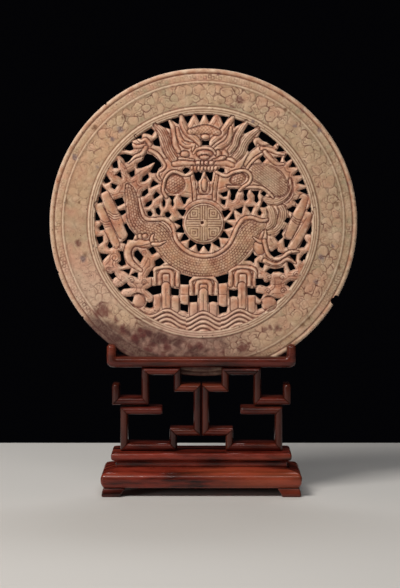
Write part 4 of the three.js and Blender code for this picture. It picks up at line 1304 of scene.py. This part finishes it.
def line_paint(paint, stain):
    """Painted shade in hollows, dark lines, pale ones in the stain, painted highlights on worn edges and
    crests.
    """
    # Painted shade: darker where the surface lies below its surroundings, fainter on the ring
    deep = blur(HEIGHT, 1.4) - HEIGHT
    shadow = np.clip(deep * 1.9 + 0.05 * smooth_noise(56, 1.0), 0, 0.92) * np.where(CARVED, 1, 0.45)
    paint = over(paint, shadow, DARK_FILL_AND_SHADE)
    grime = np.clip(0.16 * smooth_noise(57, 0.9) + 0.12 * smooth_noise(58, 2.4), 0, 0.6)
    paint = over(paint, CARVED * grime, GRIME)
    stained = np.clip((stain - 0.35) * 3, 0, 1)
    ink = np.clip(0.95 + 0.34 * smooth_noise(60, 2.6), 0.3, 1.4)
    paint = over(paint, 1.15 * ink * LINES * (1 - stained), DARK_FILL_AND_SHADE)
    traced = np.clip(LINES + sum(ring_line(radius, 0.5) for radius in PALE_IN_STAIN), 0, 1)
    paint = over(paint, 0.22 * traced * stained, PALE)
    # Pale worn edges round the holes, with a painted highlight on them
    edge = CARVED * np.exp(-np.clip(SOLID, 0, 9) / 0.6)
    paint = over(paint, 0.55 * edge * (0.8 + 0.3 * smooth_noise(54, 1.5)), SILVER)
    # Painted highlight on the crests of the carving, with pale ones on the ring
    crest_highlight = np.clip((HEIGHT - blur(HEIGHT, 0.9)) * 3.2, 0, 0.8) * (1 - 0.75 * stained)
    crest_highlight = crest_highlight * (0.8 + 0.3 * smooth_noise(55, 1.5))
    paint = over(paint, crest_highlight * CARVED, CREST_HIGHLIGHT)
    return over(paint, crest_highlight * ~CARVED, PALE)


def stone_paint():
    paint = openwork_paint(ground_tints())
    mouldings = (RADIUS > INNER_MOULDINGS[0]) & (RADIUS < INNER_MOULDINGS[1])
    paint = over(paint, 0.5 * mouldings, MOULDING)
    paint = ring_paint(paint)
    paint = over(paint, 0.17 * np.clip(GX / 120, 0, 1), SHADE)
    paint = over(paint, zones(STAIN_EDGE_ZONES) * ~CARVED, STAIN_EDGE)
    stain = stain_share()
    paint = over(paint, 0.97 * stain, STAIN)
    for text, colour in ((RED_SPOTS, SPOT_RED), (GREY_SPOTS, SPOT_GREY), (BROWN_SPOTS, SPOT_BROWN)):
        paint = over(paint, 0.85 * spots(text), colour)
    return line_paint(paint, stain)


# Where the stain runs: angles round the disc, and how far inwards it reaches at each
STAIN_TURNS = (216, 226, 236, 247, 284)
STAIN_INNER = (141, 130, 115, 103, 106)
STAIN_START = (216, 7)
STAIN_END = (298, 26)
STAIN_LIMIT = 111
STAIN_OUTER = 135


def stain_share():
    """The dark maroon stain, over the rim at the lower left and spreading inwards towards the bottom."""
    begun = np.clip((ANGLE - STAIN_START[0]) / STAIN_START[1], 0, 1)
    along = begun * np.clip((STAIN_END[0] - ANGLE) / STAIN_END[1], 0, 1)
    inner = np.interp(ANGLE, STAIN_TURNS, STAIN_INNER)
    depth = np.clip((RADIUS - inner) / 8 + 0.35 * smooth_noise(50, 3), 0, 1)
    share = along * depth * np.clip((RADIUS - STAIN_LIMIT) / 3, 0, 1)
    patchy = np.clip(0.80 + 0.24 * smooth_noise(41, 3) + 0.14 * smooth_noise(48, 1.3), 0.5, 1)
    outer = np.clip((RADIUS - STAIN_OUTER) / 3, 0, 1)
    return share * (patchy * (1 - outer) + 0.97 * outer)


def spots(text):
    share = np.zeros(GX.shape)
    ragged = 0.3 * smooth_noise(49, 1.3)
    for x, y, size in read_outlines(text)[0]:
        part = window([(x, y)], size * 2.5)
        distance = np.hypot(GX[part] - x, GY[part] - y) / size
        share[part] = np.maximum(share[part], np.clip((1.15 - distance + ragged[part]) * 2.2, 0, 1))
    return share


def sample(field, x, y):
    """Values of a field of colours at points in millimetres, between the grid's own."""
    u, v = (np.clip(place / GRID_STEP + GRID_HALF, 0, GRID_SIDE - 2.001) for place in (x, y))
    i = v.astype(int)
    j = u.astype(int)
    fv = (v - i)[:, None]
    fu = (u - j)[:, None]
    low = field[i, j] * (1 - fu) + field[i, j + 1] * fu
    high = field[i + 1, j] * (1 - fu) + field[i + 1, j + 1] * fu
    return low * (1 - fv) + high * fv


def back_paint():
    """The back has the same stone and stain, without the dark lines."""
    paint = over(ground_tints(), 0.6 * stain_share(), STAIN)
    for radius in BACK_RINGS:
        paint = over(paint, 0.6 * ring_line(radius, 0.9), BROWN)
    return over(paint, 0.3 * CARVED, BODY)


FRONT_LIMIT = 0.0002


def paint_disc(made):
    """Writes the colours on the mesh; the layer's fourth value falls where the stain is."""
    mesh = made.data
    points = np.empty(len(mesh.vertices) * 3, np.float32)
    mesh.vertices.foreach_get("co", points)
    points = points.reshape(-1, 3)
    x = points[:, 0] / MM
    y = (points[:, 2] - DISC_LEVEL) / MM
    front = points[:, 1:2] < FRONT_LIMIT
    colour = np.where(front, sample(stone_paint(), x, y), sample(back_paint(), x, y))
    layer = mesh.color_attributes.new("paint", "FLOAT_COLOR", "POINT")
    values = np.ones((len(mesh.vertices), 4), np.float32)
    values[:, :3] = np.clip(colour, 0, 1)
    values[:, 3] = 1 - 0.8 * sample(stain_share()[..., None], x, y)[:, 0]
    layer.data.foreach_set("color", values.ravel())


paint_disc(disc)


# Materials

def new_material(name):
    material = bpy.data.materials.new(name)
    material.use_nodes = True
    tree = material.node_tree
    return material, tree, tree.nodes["Principled BSDF"]


def set_inputs(node, values):
    for name, value in values.items():
        node.inputs[name].default_value = value


def add_node(tree, kind, values=None, **settings):
    made = tree.nodes.new(kind)
    for key, value in settings.items():
        setattr(made, key, value)
    set_inputs(made, values or {})
    return made


def noise(tree, vector, scale, detail=4.0, rough=0.55):
    made = add_node(tree, "ShaderNodeTexNoise", {"Scale": scale, "Detail": detail, "Roughness": rough})
    tree.links.new(vector, made.inputs["Vector"])
    return made.outputs["Fac"]


def ramp(tree, value, low, high):
    made = add_node(tree, "ShaderNodeMapRange", {"From Min": low, "From Max": high}, clamp=True)
    tree.links.new(value, made.inputs["Value"])
    return made.outputs["Result"]


def feed(tree, socket, value):
    """A number or a colour is set on the socket, anything else is linked to it."""
    if isinstance(value, float):
        socket.default_value = value
    elif isinstance(value, tuple):
        socket.default_value = (*value, 1.0)
    else:
        tree.links.new(value, socket)


def product(tree, first, second):
    made = add_node(tree, "ShaderNodeMath", operation="MULTIPLY")
    feed(tree, made.inputs[0], first)
    feed(tree, made.inputs[1], second)
    return made.outputs[0]


def blend_colour(tree, share, base, top):
    made = add_node(tree, "ShaderNodeMix", data_type="RGBA", clamp_factor=True)
    for socket, value in ((0, share), (6, base), (7, top)):
        feed(tree, made.inputs[socket], value)
    return made.outputs[2]


def tint(tree, colour, field, share, top):
    """Blends a colour over another by a share of a field."""
    return blend_colour(tree, product(tree, field, share), colour, top)


def surface(tree, shader, colour, gloss, rough_range, height, strength):
    """Links the colour, a roughness that follows gloss, and a bump that follows height."""
    tree.links.new(colour, shader.inputs["Base Color"])
    spread = add_node(tree, "ShaderNodeMapRange", {"To Min": rough_range[0], "To Max": rough_range[1]})
    tree.links.new(gloss, spread.inputs["Value"])
    tree.links.new(spread.outputs["Result"], shader.inputs["Roughness"])
    bump = add_node(tree, "ShaderNodeBump", {"Strength": strength, "Distance": 0.0005})
    tree.links.new(height, bump.inputs["Height"])
    tree.links.new(bump.outputs["Normal"], shader.inputs["Normal"])


MOTTLE_BROWN = (0.22, 0.10, 0.06)
MOTTLE_PALE = (0.86, 0.66, 0.51)
BLOTCH = (0.060, 0.013, 0.013)
SPECK = (0.07, 0.03, 0.025)


def stone_material():
    """Waxed soapstone: the painted layer, mottled and specked, with a soft sheen."""
    material, tree, shader = new_material("waxed_soapstone")
    place = add_node(tree, "ShaderNodeTexCoord").outputs["Object"]
    paint = add_node(tree, "ShaderNodeAttribute", attribute_name="paint")
    clean = paint.outputs["Alpha"]
    mottle = product(tree, ramp(tree, noise(tree, place, 330, 5.0, 0.65), 0.42, 0.8), clean)
    colour = tint(tree, paint.outputs["Color"], mottle, 0.36, MOTTLE_BROWN)
    pale = product(tree, ramp(tree, noise(tree, place, 260, 4.0, 0.6), 0.52, 0.78), clean)
    colour = tint(tree, colour, pale, 0.22, MOTTLE_PALE)
    stained = ramp(tree, clean, 0.85, 0.25)
    blotches = product(tree, ramp(tree, noise(tree, place, 190, 6.0, 0.7), 0.42, 0.60), stained)
    colour = tint(tree, colour, blotches, 0.7, BLOTCH)
    specks = ramp(tree, noise(tree, place, 480, 1.0, 0.3), 0.70, 0.76)
    colour = tint(tree, colour, specks, 0.8, SPECK)
    gloss = ramp(tree, noise(tree, place, 160), 0.2, 0.8)
    surface(tree, shader, colour, gloss, (0.42, 0.62), noise(tree, place, 700, 5.0, 0.65), 0.4)
    set_inputs(shader, {"Specular IOR Level": 0.3})
    return material


ROSEWOOD_DARK = (0.012, 0.0022, 0.0016)
RAIL_TINTS = ((0.100, 0.013, 0.0075), (0.22, 0.046, 0.022))
# The uprights' rosewood is a darker copy of the rail's: painted shade, as they catch less light from above
UPRIGHT_SHADED_TINTS = ((0.046, 0.007, 0.0045), (0.10, 0.021, 0.010))
# The base's rosewood is a brighter copy of the rail's: painted light on the board, waist and plinth
BASE_LIT_TINTS = ((0.21, 0.026, 0.014), (0.40, 0.085, 0.036))
ALONG_X = (0.16, 1.0, 1.0)
ALONG_Z = (1.0, 1.0, 0.16)


def wood_material(name, grain, tints):
    """Polished rosewood; grain is the stretch of the streaks, tints their red and their orange."""
    material, tree, shader = new_material(name)
    place = add_node(tree, "ShaderNodeTexCoord").outputs["Object"]
    stretch = add_node(tree, "ShaderNodeMapping", {"Scale": grain})
    tree.links.new(place, stretch.inputs["Vector"])
    vector = stretch.outputs["Vector"]
    streaks = noise(tree, vector, 130, 5.0, 0.6)
    broad = noise(tree, vector, 34, 3.0, 0.5)
    colour = blend_colour(tree, ramp(tree, streaks, 0.34, 0.62), ROSEWOOD_DARK, tints[0])
    colour = tint(tree, colour, ramp(tree, broad, 0.46, 0.70), 0.6, tints[1])
    surface(tree, shader, colour, streaks, (0.2, 0.34), noise(tree, vector, 60, 3.0, 0.5), 0.3)
    set_inputs(shader, {"Specular IOR Level": 0.26, "Coat Weight": 0.25, "Coat Roughness": 0.05})
    return material


STONE = stone_material()
WOOD_ALONG_X = wood_material("rosewood_along", ALONG_X, RAIL_TINTS)
WOOD_UPRIGHT_SHADED = wood_material("rosewood_upright_shaded", ALONG_Z, UPRIGHT_SHADED_TINTS)
WOOD_BASE_LIT = wood_material("rosewood_base_lit", ALONG_X, BASE_LIT_TINTS)

disc.data.materials.append(STONE)
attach(disc, "root")
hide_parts("bi_disc")

# The stand: every CAD piece is dressed in a smoother one, made of closed rings joined into a loft

SEAT_CLEARANCE = 0.3
DISC_HALF_DEPTH = (DISC_BOX[1][1] - DISC_BOX[0][1]) / 2 / MM
SEAT_SIDES = 240
WOOD_CREASE = 38


def box_mm(name):
    low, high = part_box(name)
    return [v / MM for v in low], [v / MM for v in high]


def loft(name, rings):
    """A closed body through rings of as many points each, in millimetres."""
    count = len(rings[0])
    points = [(x * MM, y * MM, z * MM) for ring in rings for x, y, z in ring]
    faces = [tuple(range(count))[::-1]]
    for level in range(len(rings) - 1):
        for i in range(count):
            here = level * count + i
            there = level * count + (i + 1) % count
            faces.append((here, there, there + count, here + count))
    faces.append(tuple(range((len(rings) - 1) * count, len(rings) * count)))
    made = mesh_object(name, points, faces)
    mesh = bmesh.new()
    mesh.from_mesh(made.data)
    bmesh.ops.recalc_face_normals(mesh, faces=mesh.faces)
    mesh.to_mesh(made.data)
    mesh.free()
    return made


def seat_cutter():
    """The space that the disc takes in the stand, with clearance all round."""
    half = DISC_HALF_DEPTH + SEAT_CLEARANCE
    reach = DISC_RADIUS + SEAT_CLEARANCE
    rings = []
    for y in (-half, half):
        turns = [2 * math.pi * k / SEAT_SIDES for k in range(SEAT_SIDES)]
        rings.append([(reach * math.cos(t), y, DISC_LEVEL / MM + reach * math.sin(t)) for t in turns])
    return loft("seat_cutter", rings)


def cut_seat(made):
    cutter = seat_cutter()
    cut = made.modifiers.new("seat", "BOOLEAN")
    cut.object = cutter
    cut.operation = "DIFFERENCE"
    cut.solver = "EXACT"
    apply_modifiers(made)
    bpy.data.objects.remove(cutter)


def dress(made, node, material):
    """Puts a finished piece in the place of a CAD node of the stand."""
    shade(made, WOOD_CREASE)
    made.data.materials.append(material)
    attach(made, "root")
    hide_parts(node)


# Fretwork sticks: round in front and behind, mitred with a fine joint line, free ends rounded

STICK_NAMES = (
    "hook", "shelf", "riser", "top_bar", "drop", "inner_bar",
    "post", "inner_foot", "step", "foot_bar", "outer_post", "tongue",
)
SEATED_STICKS = ("riser", "top_bar", "drop")
STICK_ROUND = 3.3
MITRE_GAP = 0.21
JOINT_EASE = 0.4
END_ROUND = 2.0
END_SINK = 0.7
END_STEPS = 5
ROUND_STEPS = 12


def stick_section(half, depth):
    """Points of the section: across the stick, and in depth."""
    straight = depth - STICK_ROUND
    turns = [math.pi * k / ROUND_STEPS for k in range(ROUND_STEPS + 1)]
    front = [(half * math.cos(t), -straight - STICK_ROUND * math.sin(t)) for t in turns]
    back = [(-half * math.cos(t), straight + STICK_ROUND * math.sin(t)) for t in turns]
    return front + back


def stick_line(side):
    """Corners of the running line of sticks: hook's free end first, tongue's free end last."""
    boxes = [box_mm(f"fret_{side}_{name}") for name in STICK_NAMES]
    middles = [((low[0] + high[0]) / 2, (low[2] + high[2]) / 2) for low, high in boxes]
    line_points = [(middles[0][0], boxes[0][1][2])]
    for k in range(len(boxes) - 1):
        upright = k % 2 == 0
        line_points.append((middles[k if upright else k + 1][0], middles[k + 1 if upright else k][1]))
    last_low, last_high = boxes[-1]
    line_points.append((last_high[0] if side == "left" else last_low[0], middles[-1][1]))
    half = (boxes[0][1][0] - boxes[0][0][0]) / 2
    depth = (boxes[0][1][1] - boxes[0][0][1]) / 2
    return line_points, half, depth


def stick_rings(corners, index, section, half):
    (x0, z0), (x1, z1) = corners[index], corners[index + 1]
    length = math.hypot(x1 - x0, z1 - z0)
    along = ((x1 - x0) / length, (z1 - z0) / length)
    across = (-along[1], along[0])

    def ring(run, lean, inset):
        share = 1 - inset / half
        points = []
        for u, y in section:
            reach = run + lean * u * share
            depth = y - math.copysign(inset, y)
            x = x0 + along[0] * reach + across[0] * u * share
            points.append((x, depth, z0 + along[1] * reach + across[1] * u * share))
        return points

    def end_rings(corner, at, sign):
        """Rings of one end, from the stick's middle outwards; sign is 1 at its far end."""
        if corner in (0, len(corners) - 1):
            turns = [math.pi / 2 * k / END_STEPS for k in range(END_STEPS)]
            sunk = [(END_ROUND * (1 - math.sin(t)), END_ROUND * (1 - math.cos(t)) * END_SINK) for t in turns]
            return [ring(at - sign * back, 0, inset) for back, inset in sunk]
        other = corners[corner + sign]
        towards = (other[0] - corners[corner][0]) * across[0] + (other[1] - corners[corner][1]) * across[1]
        lean = -sign * math.copysign(1, towards)
        eases = ((MITRE_GAP + JOINT_EASE, 0.0), (MITRE_GAP, JOINT_EASE * 0.8))
        return [ring(at - sign * back, lean, inset) for back, inset in eases]

    return end_rings(index, 0, -1)[::-1] + end_rings(index + 1, length, 1)


def make_sticks():
    for side in ("left", "right"):
        corners, half, depth = stick_line(side)
        section = stick_section(half, depth)
        for index, name in enumerate(STICK_NAMES):
            node = f"fret_{side}_{name}"
            made = loft(f"polished_{node}", stick_rings(corners, index, section, half))
            if name in SEATED_STICKS:
                cut_seat(made)
            # Uprights take the darker rosewood of painted shade, bars the rail's
            dress(made, node, WOOD_UPRIGHT_SHADED if index % 2 == 0 else WOOD_ALONG_X)


# Rail: a bar with a round front and back, and horns that turn up at its ends

RAIL_ROUND = 4.2
HORN_WIDTH = 9.0
HORN_RISE = 12.3
RAIL_CORNERS = 7
RAIL_STEPS = 7
RAIL_RADII = (6.0, 6.0, 3.4, 3.4, 1.6, 1.6, 3.4, 3.4)
SMALLEST_RADIUS = 0.3


def rounded_outline(corners, radii, inset):
    """A right-angled outline, counterclockwise, drawn in by inset and with its corners rounded."""
    count = len(corners)
    points = []
    for k, (x, z) in enumerate(corners):
        before = corners[k - 1]
        after = corners[(k + 1) % count]
        arrive = np.sign([x - before[0], z - before[1]])
        leave = np.sign([after[0] - x, after[1] - z])
        convex = arrive[0] * leave[1] - arrive[1] * leave[0] > 0
        normal = np.array([-arrive[1] - leave[1], arrive[0] + leave[0]])
        corner = np.array([x, z]) + inset * normal
        radius = max(SMALLEST_RADIUS, radii[k] - inset if convex else radii[k] + inset)
        middle = corner + radius * (leave - arrive)
        for step in range(RAIL_CORNERS):
            turn = math.pi / 2 * step / (RAIL_CORNERS - 1)
            points.append(tuple(middle - radius * (leave * math.cos(turn) - arrive * math.sin(turn))))
    return points


def make_rail():
    low, high = box_mm("rail")
    top = high[2] - HORN_RISE
    left, right = low[0], high[0]
    inner_left, inner_right = left + HORN_WIDTH, right - HORN_WIDTH
    corners = (
        (left, low[2]), (right, low[2]), (right, high[2]), (inner_right, high[2]), (inner_right, top),
        (inner_left, top), (inner_left, high[2]), (left, high[2]),
    )
    depth = (high[1] - low[1]) / 2
    front = []
    for k in range(RAIL_STEPS + 1):
        turn = math.pi / 2 * (1 - k / RAIL_STEPS)
        outline = rounded_outline(corners, RAIL_RADII, RAIL_ROUND * (1 - math.cos(turn)))
        front.append((depth - RAIL_ROUND + RAIL_ROUND * math.sin(turn), outline))
    rings = [[(x, -y, z) for x, z in outline] for y, outline in front]
    rings += [[(x, y, z) for x, z in outline] for y, outline in reversed(front)]
    made = loft("polished_rail", rings)
    cut_seat(made)
    dress(made, "rail", WOOD_ALONG_X)


# Base: board, waist, moulded plinth and bracket feet, as stacked rings of a rounded rectangle

PLAN_STEPS = 6
PLATE_ROUND = 2.8
PLATE_CORNER = 2.4
WAIST_ROUND = 0.4
WAIST_CORNER = 1.5
PLINTH_CORNER = 3.0
PLINTH_NOSE = 0.46
PLINTH_SHOULDER = 0.82
PLINTH_STEPS = 7
UNDER_INSET = 4.0
SHOULDER_INSET = 6.0

# The plinth's top, from its shoulder to the waist: inset, and share of its height
PLINTH_TOP = ((9.0, 0.87), (13.0, 0.93), (16.6, 1.0))
FOOT_CORNER = 1.2


def plan_ring(low, high, inset, radius, z):
    """A rounded rectangle at one level, drawn in by inset."""
    points = []
    for quarter, (sx, sy) in enumerate(((1, 1), (-1, 1), (-1, -1), (1, -1))):
        cx = (high[0] if sx > 0 else low[0]) - sx * (inset + radius)
        cy = (high[1] if sy > 0 else low[1]) - sy * (inset + radius)
        for step in range(PLAN_STEPS):
            turn = math.pi / 2 * (quarter + step / (PLAN_STEPS - 1))
            points.append((cx + radius * math.cos(turn), cy + radius * math.sin(turn), z))
    return points


def slab(node, profile, corner):
    """A slab of the base: profile gives inset and level pairs for its height, from its underside up."""
    low, high = box_mm(node)
    steps = profile(high[2] - low[2])
    rings = [plan_ring(low, high, inset, corner, low[2] + level) for inset, level in steps]
    # Board, waist and plinth take the brighter rosewood of painted light
    dress(loft(f"polished_{node}", rings), node, WOOD_BASE_LIT)


def bullnose(height, radius, steps):
    turns = [math.pi / 2 * k / (steps - 1) for k in range(steps)]
    under = [(radius * (1 - math.sin(t)), radius * (1 - math.cos(t))) for t in turns]
    return under + [(radius * (1 - math.cos(t)), height - radius * (1 - math.sin(t))) for t in turns]


def plate_profile(height):
    return bullnose(height, PLATE_ROUND, 7)


def waist_profile(height):
    return bullnose(height, WAIST_ROUND, 3)


def plinth_profile(height):
    """A quarter round below the nose, a full round above it, and a top that rises a little to the waist."""
    nose = PLINTH_NOSE * height
    rise = PLINTH_SHOULDER * height - nose
    turns = [math.pi / 2 * k / PLINTH_STEPS for k in range(PLINTH_STEPS + 1)]
    profile = [(UNDER_INSET - UNDER_INSET * math.sin(t), nose * (1 - math.cos(t))) for t in turns]
    profile += [(SHOULDER_INSET * (1 - math.cos(t)), nose + rise * math.sin(t)) for t in turns[1:]]
    return profile + [(inset, share * height) for inset, share in PLINTH_TOP]


# A foot's rings: level, how far the outer sides stand in, and how far the foot reaches inwards
FOOT_RINGS = (
    (0.0, 0.9, 17.6), (0.4, 0.35, 18.2), (1.4, 0.0, 18.6), (3.6, 0.25, 19.6), (6.2, 0.9, 21.4),
    (7.2, 1.3, 22.4), (8.0, 1.7, 22.4),
)


def make_foot(node):
    low, high = box_mm(node)
    sign_x = 1 if low[0] > 0 else -1
    sign_y = 1 if low[1] > 0 else -1
    outer_x = high[0] if sign_x > 0 else low[0]
    outer_y = high[1] if sign_y > 0 else low[1]
    rings = []
    for level, inset, reach in FOOT_RINGS:
        xs = sorted((outer_x - sign_x * inset, outer_x - sign_x * reach))
        ys = sorted((outer_y - sign_y * inset, outer_y - sign_y * reach))
        rings.append(plan_ring((xs[0], ys[0]), (xs[1], ys[1]), 0, FOOT_CORNER, low[2] + level))
    dress(loft(f"polished_{node}", rings), node, WOOD_ALONG_X)


def make_base():
    slab("base_plate", plate_profile, PLATE_CORNER)
    slab("waist", waist_profile, WAIST_CORNER)
    slab("plinth", plinth_profile, PLINTH_CORNER)
    for face in ("front", "back"):
        for side in ("left", "right"):
            make_foot(f"foot_{face}_{side}")


make_sticks()
make_rail()
make_base()


# Floor and light

FLOOR_REACH = 3
FLOOR_BACK = 0.32
FLOOR_COLOUR = (0.6, 0.59, 0.58, 1)
AIM = (0, 0, 0.25)

# Soft lamps: name, place, size, power and colour
LAMPS = (
    ("key", (-0.95, -1.1, 1.75), (0.9, 0.35), 35.5, (1.0, 0.955, 0.89)),
    ("side", (-1.6, -1.4, 0.4), (0.5, 0.3), 6, (1.0, 0.95, 0.90)),
    ("fill", (1.2, -2.2, 0.9), (0.8, 0.8), 0.8, (1.0, 0.97, 0.94)),
    ("glint", (-0.1, -1.4, 1.6), (1.5, 0.03), 7, (1.0, 0.97, 0.92)),
    ("top", (0.2, 1.3, 2.2), (1.4, 0.5), 12, (1, 1, 1)),
)
SURROUND = (0.0011, 0.0011, 0.0016, 1)


def make_floor():
    plan = ((-1, -FLOOR_REACH), (1, -FLOOR_REACH), (1, FLOOR_BACK), (-1, FLOOR_BACK))
    floor = mesh_object("floor", [(side * FLOOR_REACH, y, 0) for side, y in plan], [(0, 1, 2, 3)])
    material, _, shader = new_material("pale_floor")
    set_inputs(shader, {"Base Color": FLOOR_COLOUR, "Roughness": 0.85})
    floor.data.materials.append(material)


def area_light(name, place, size, power, colour):
    data = bpy.data.lights.new(name, "AREA")
    data.shape = "RECTANGLE"
    data.size, data.size_y = size
    data.energy = power
    data.color = colour
    made = link_object(name, data)
    made.location = place
    made.rotation_euler = (Vector(AIM) - Vector(place)).to_track_quat("-Z", "Y").to_euler()


def make_lights():
    for lamp in LAMPS:
        area_light(*lamp)
    world = bpy.data.worlds.new("studio")
    world.use_nodes = True
    set_inputs(world.node_tree.nodes["Background"], {"Color": SURROUND, "Strength": 1.0})
    bpy.context.scene.world = world
    bpy.context.scene.view_settings.view_transform = "Standard"


make_floor()
make_lights()
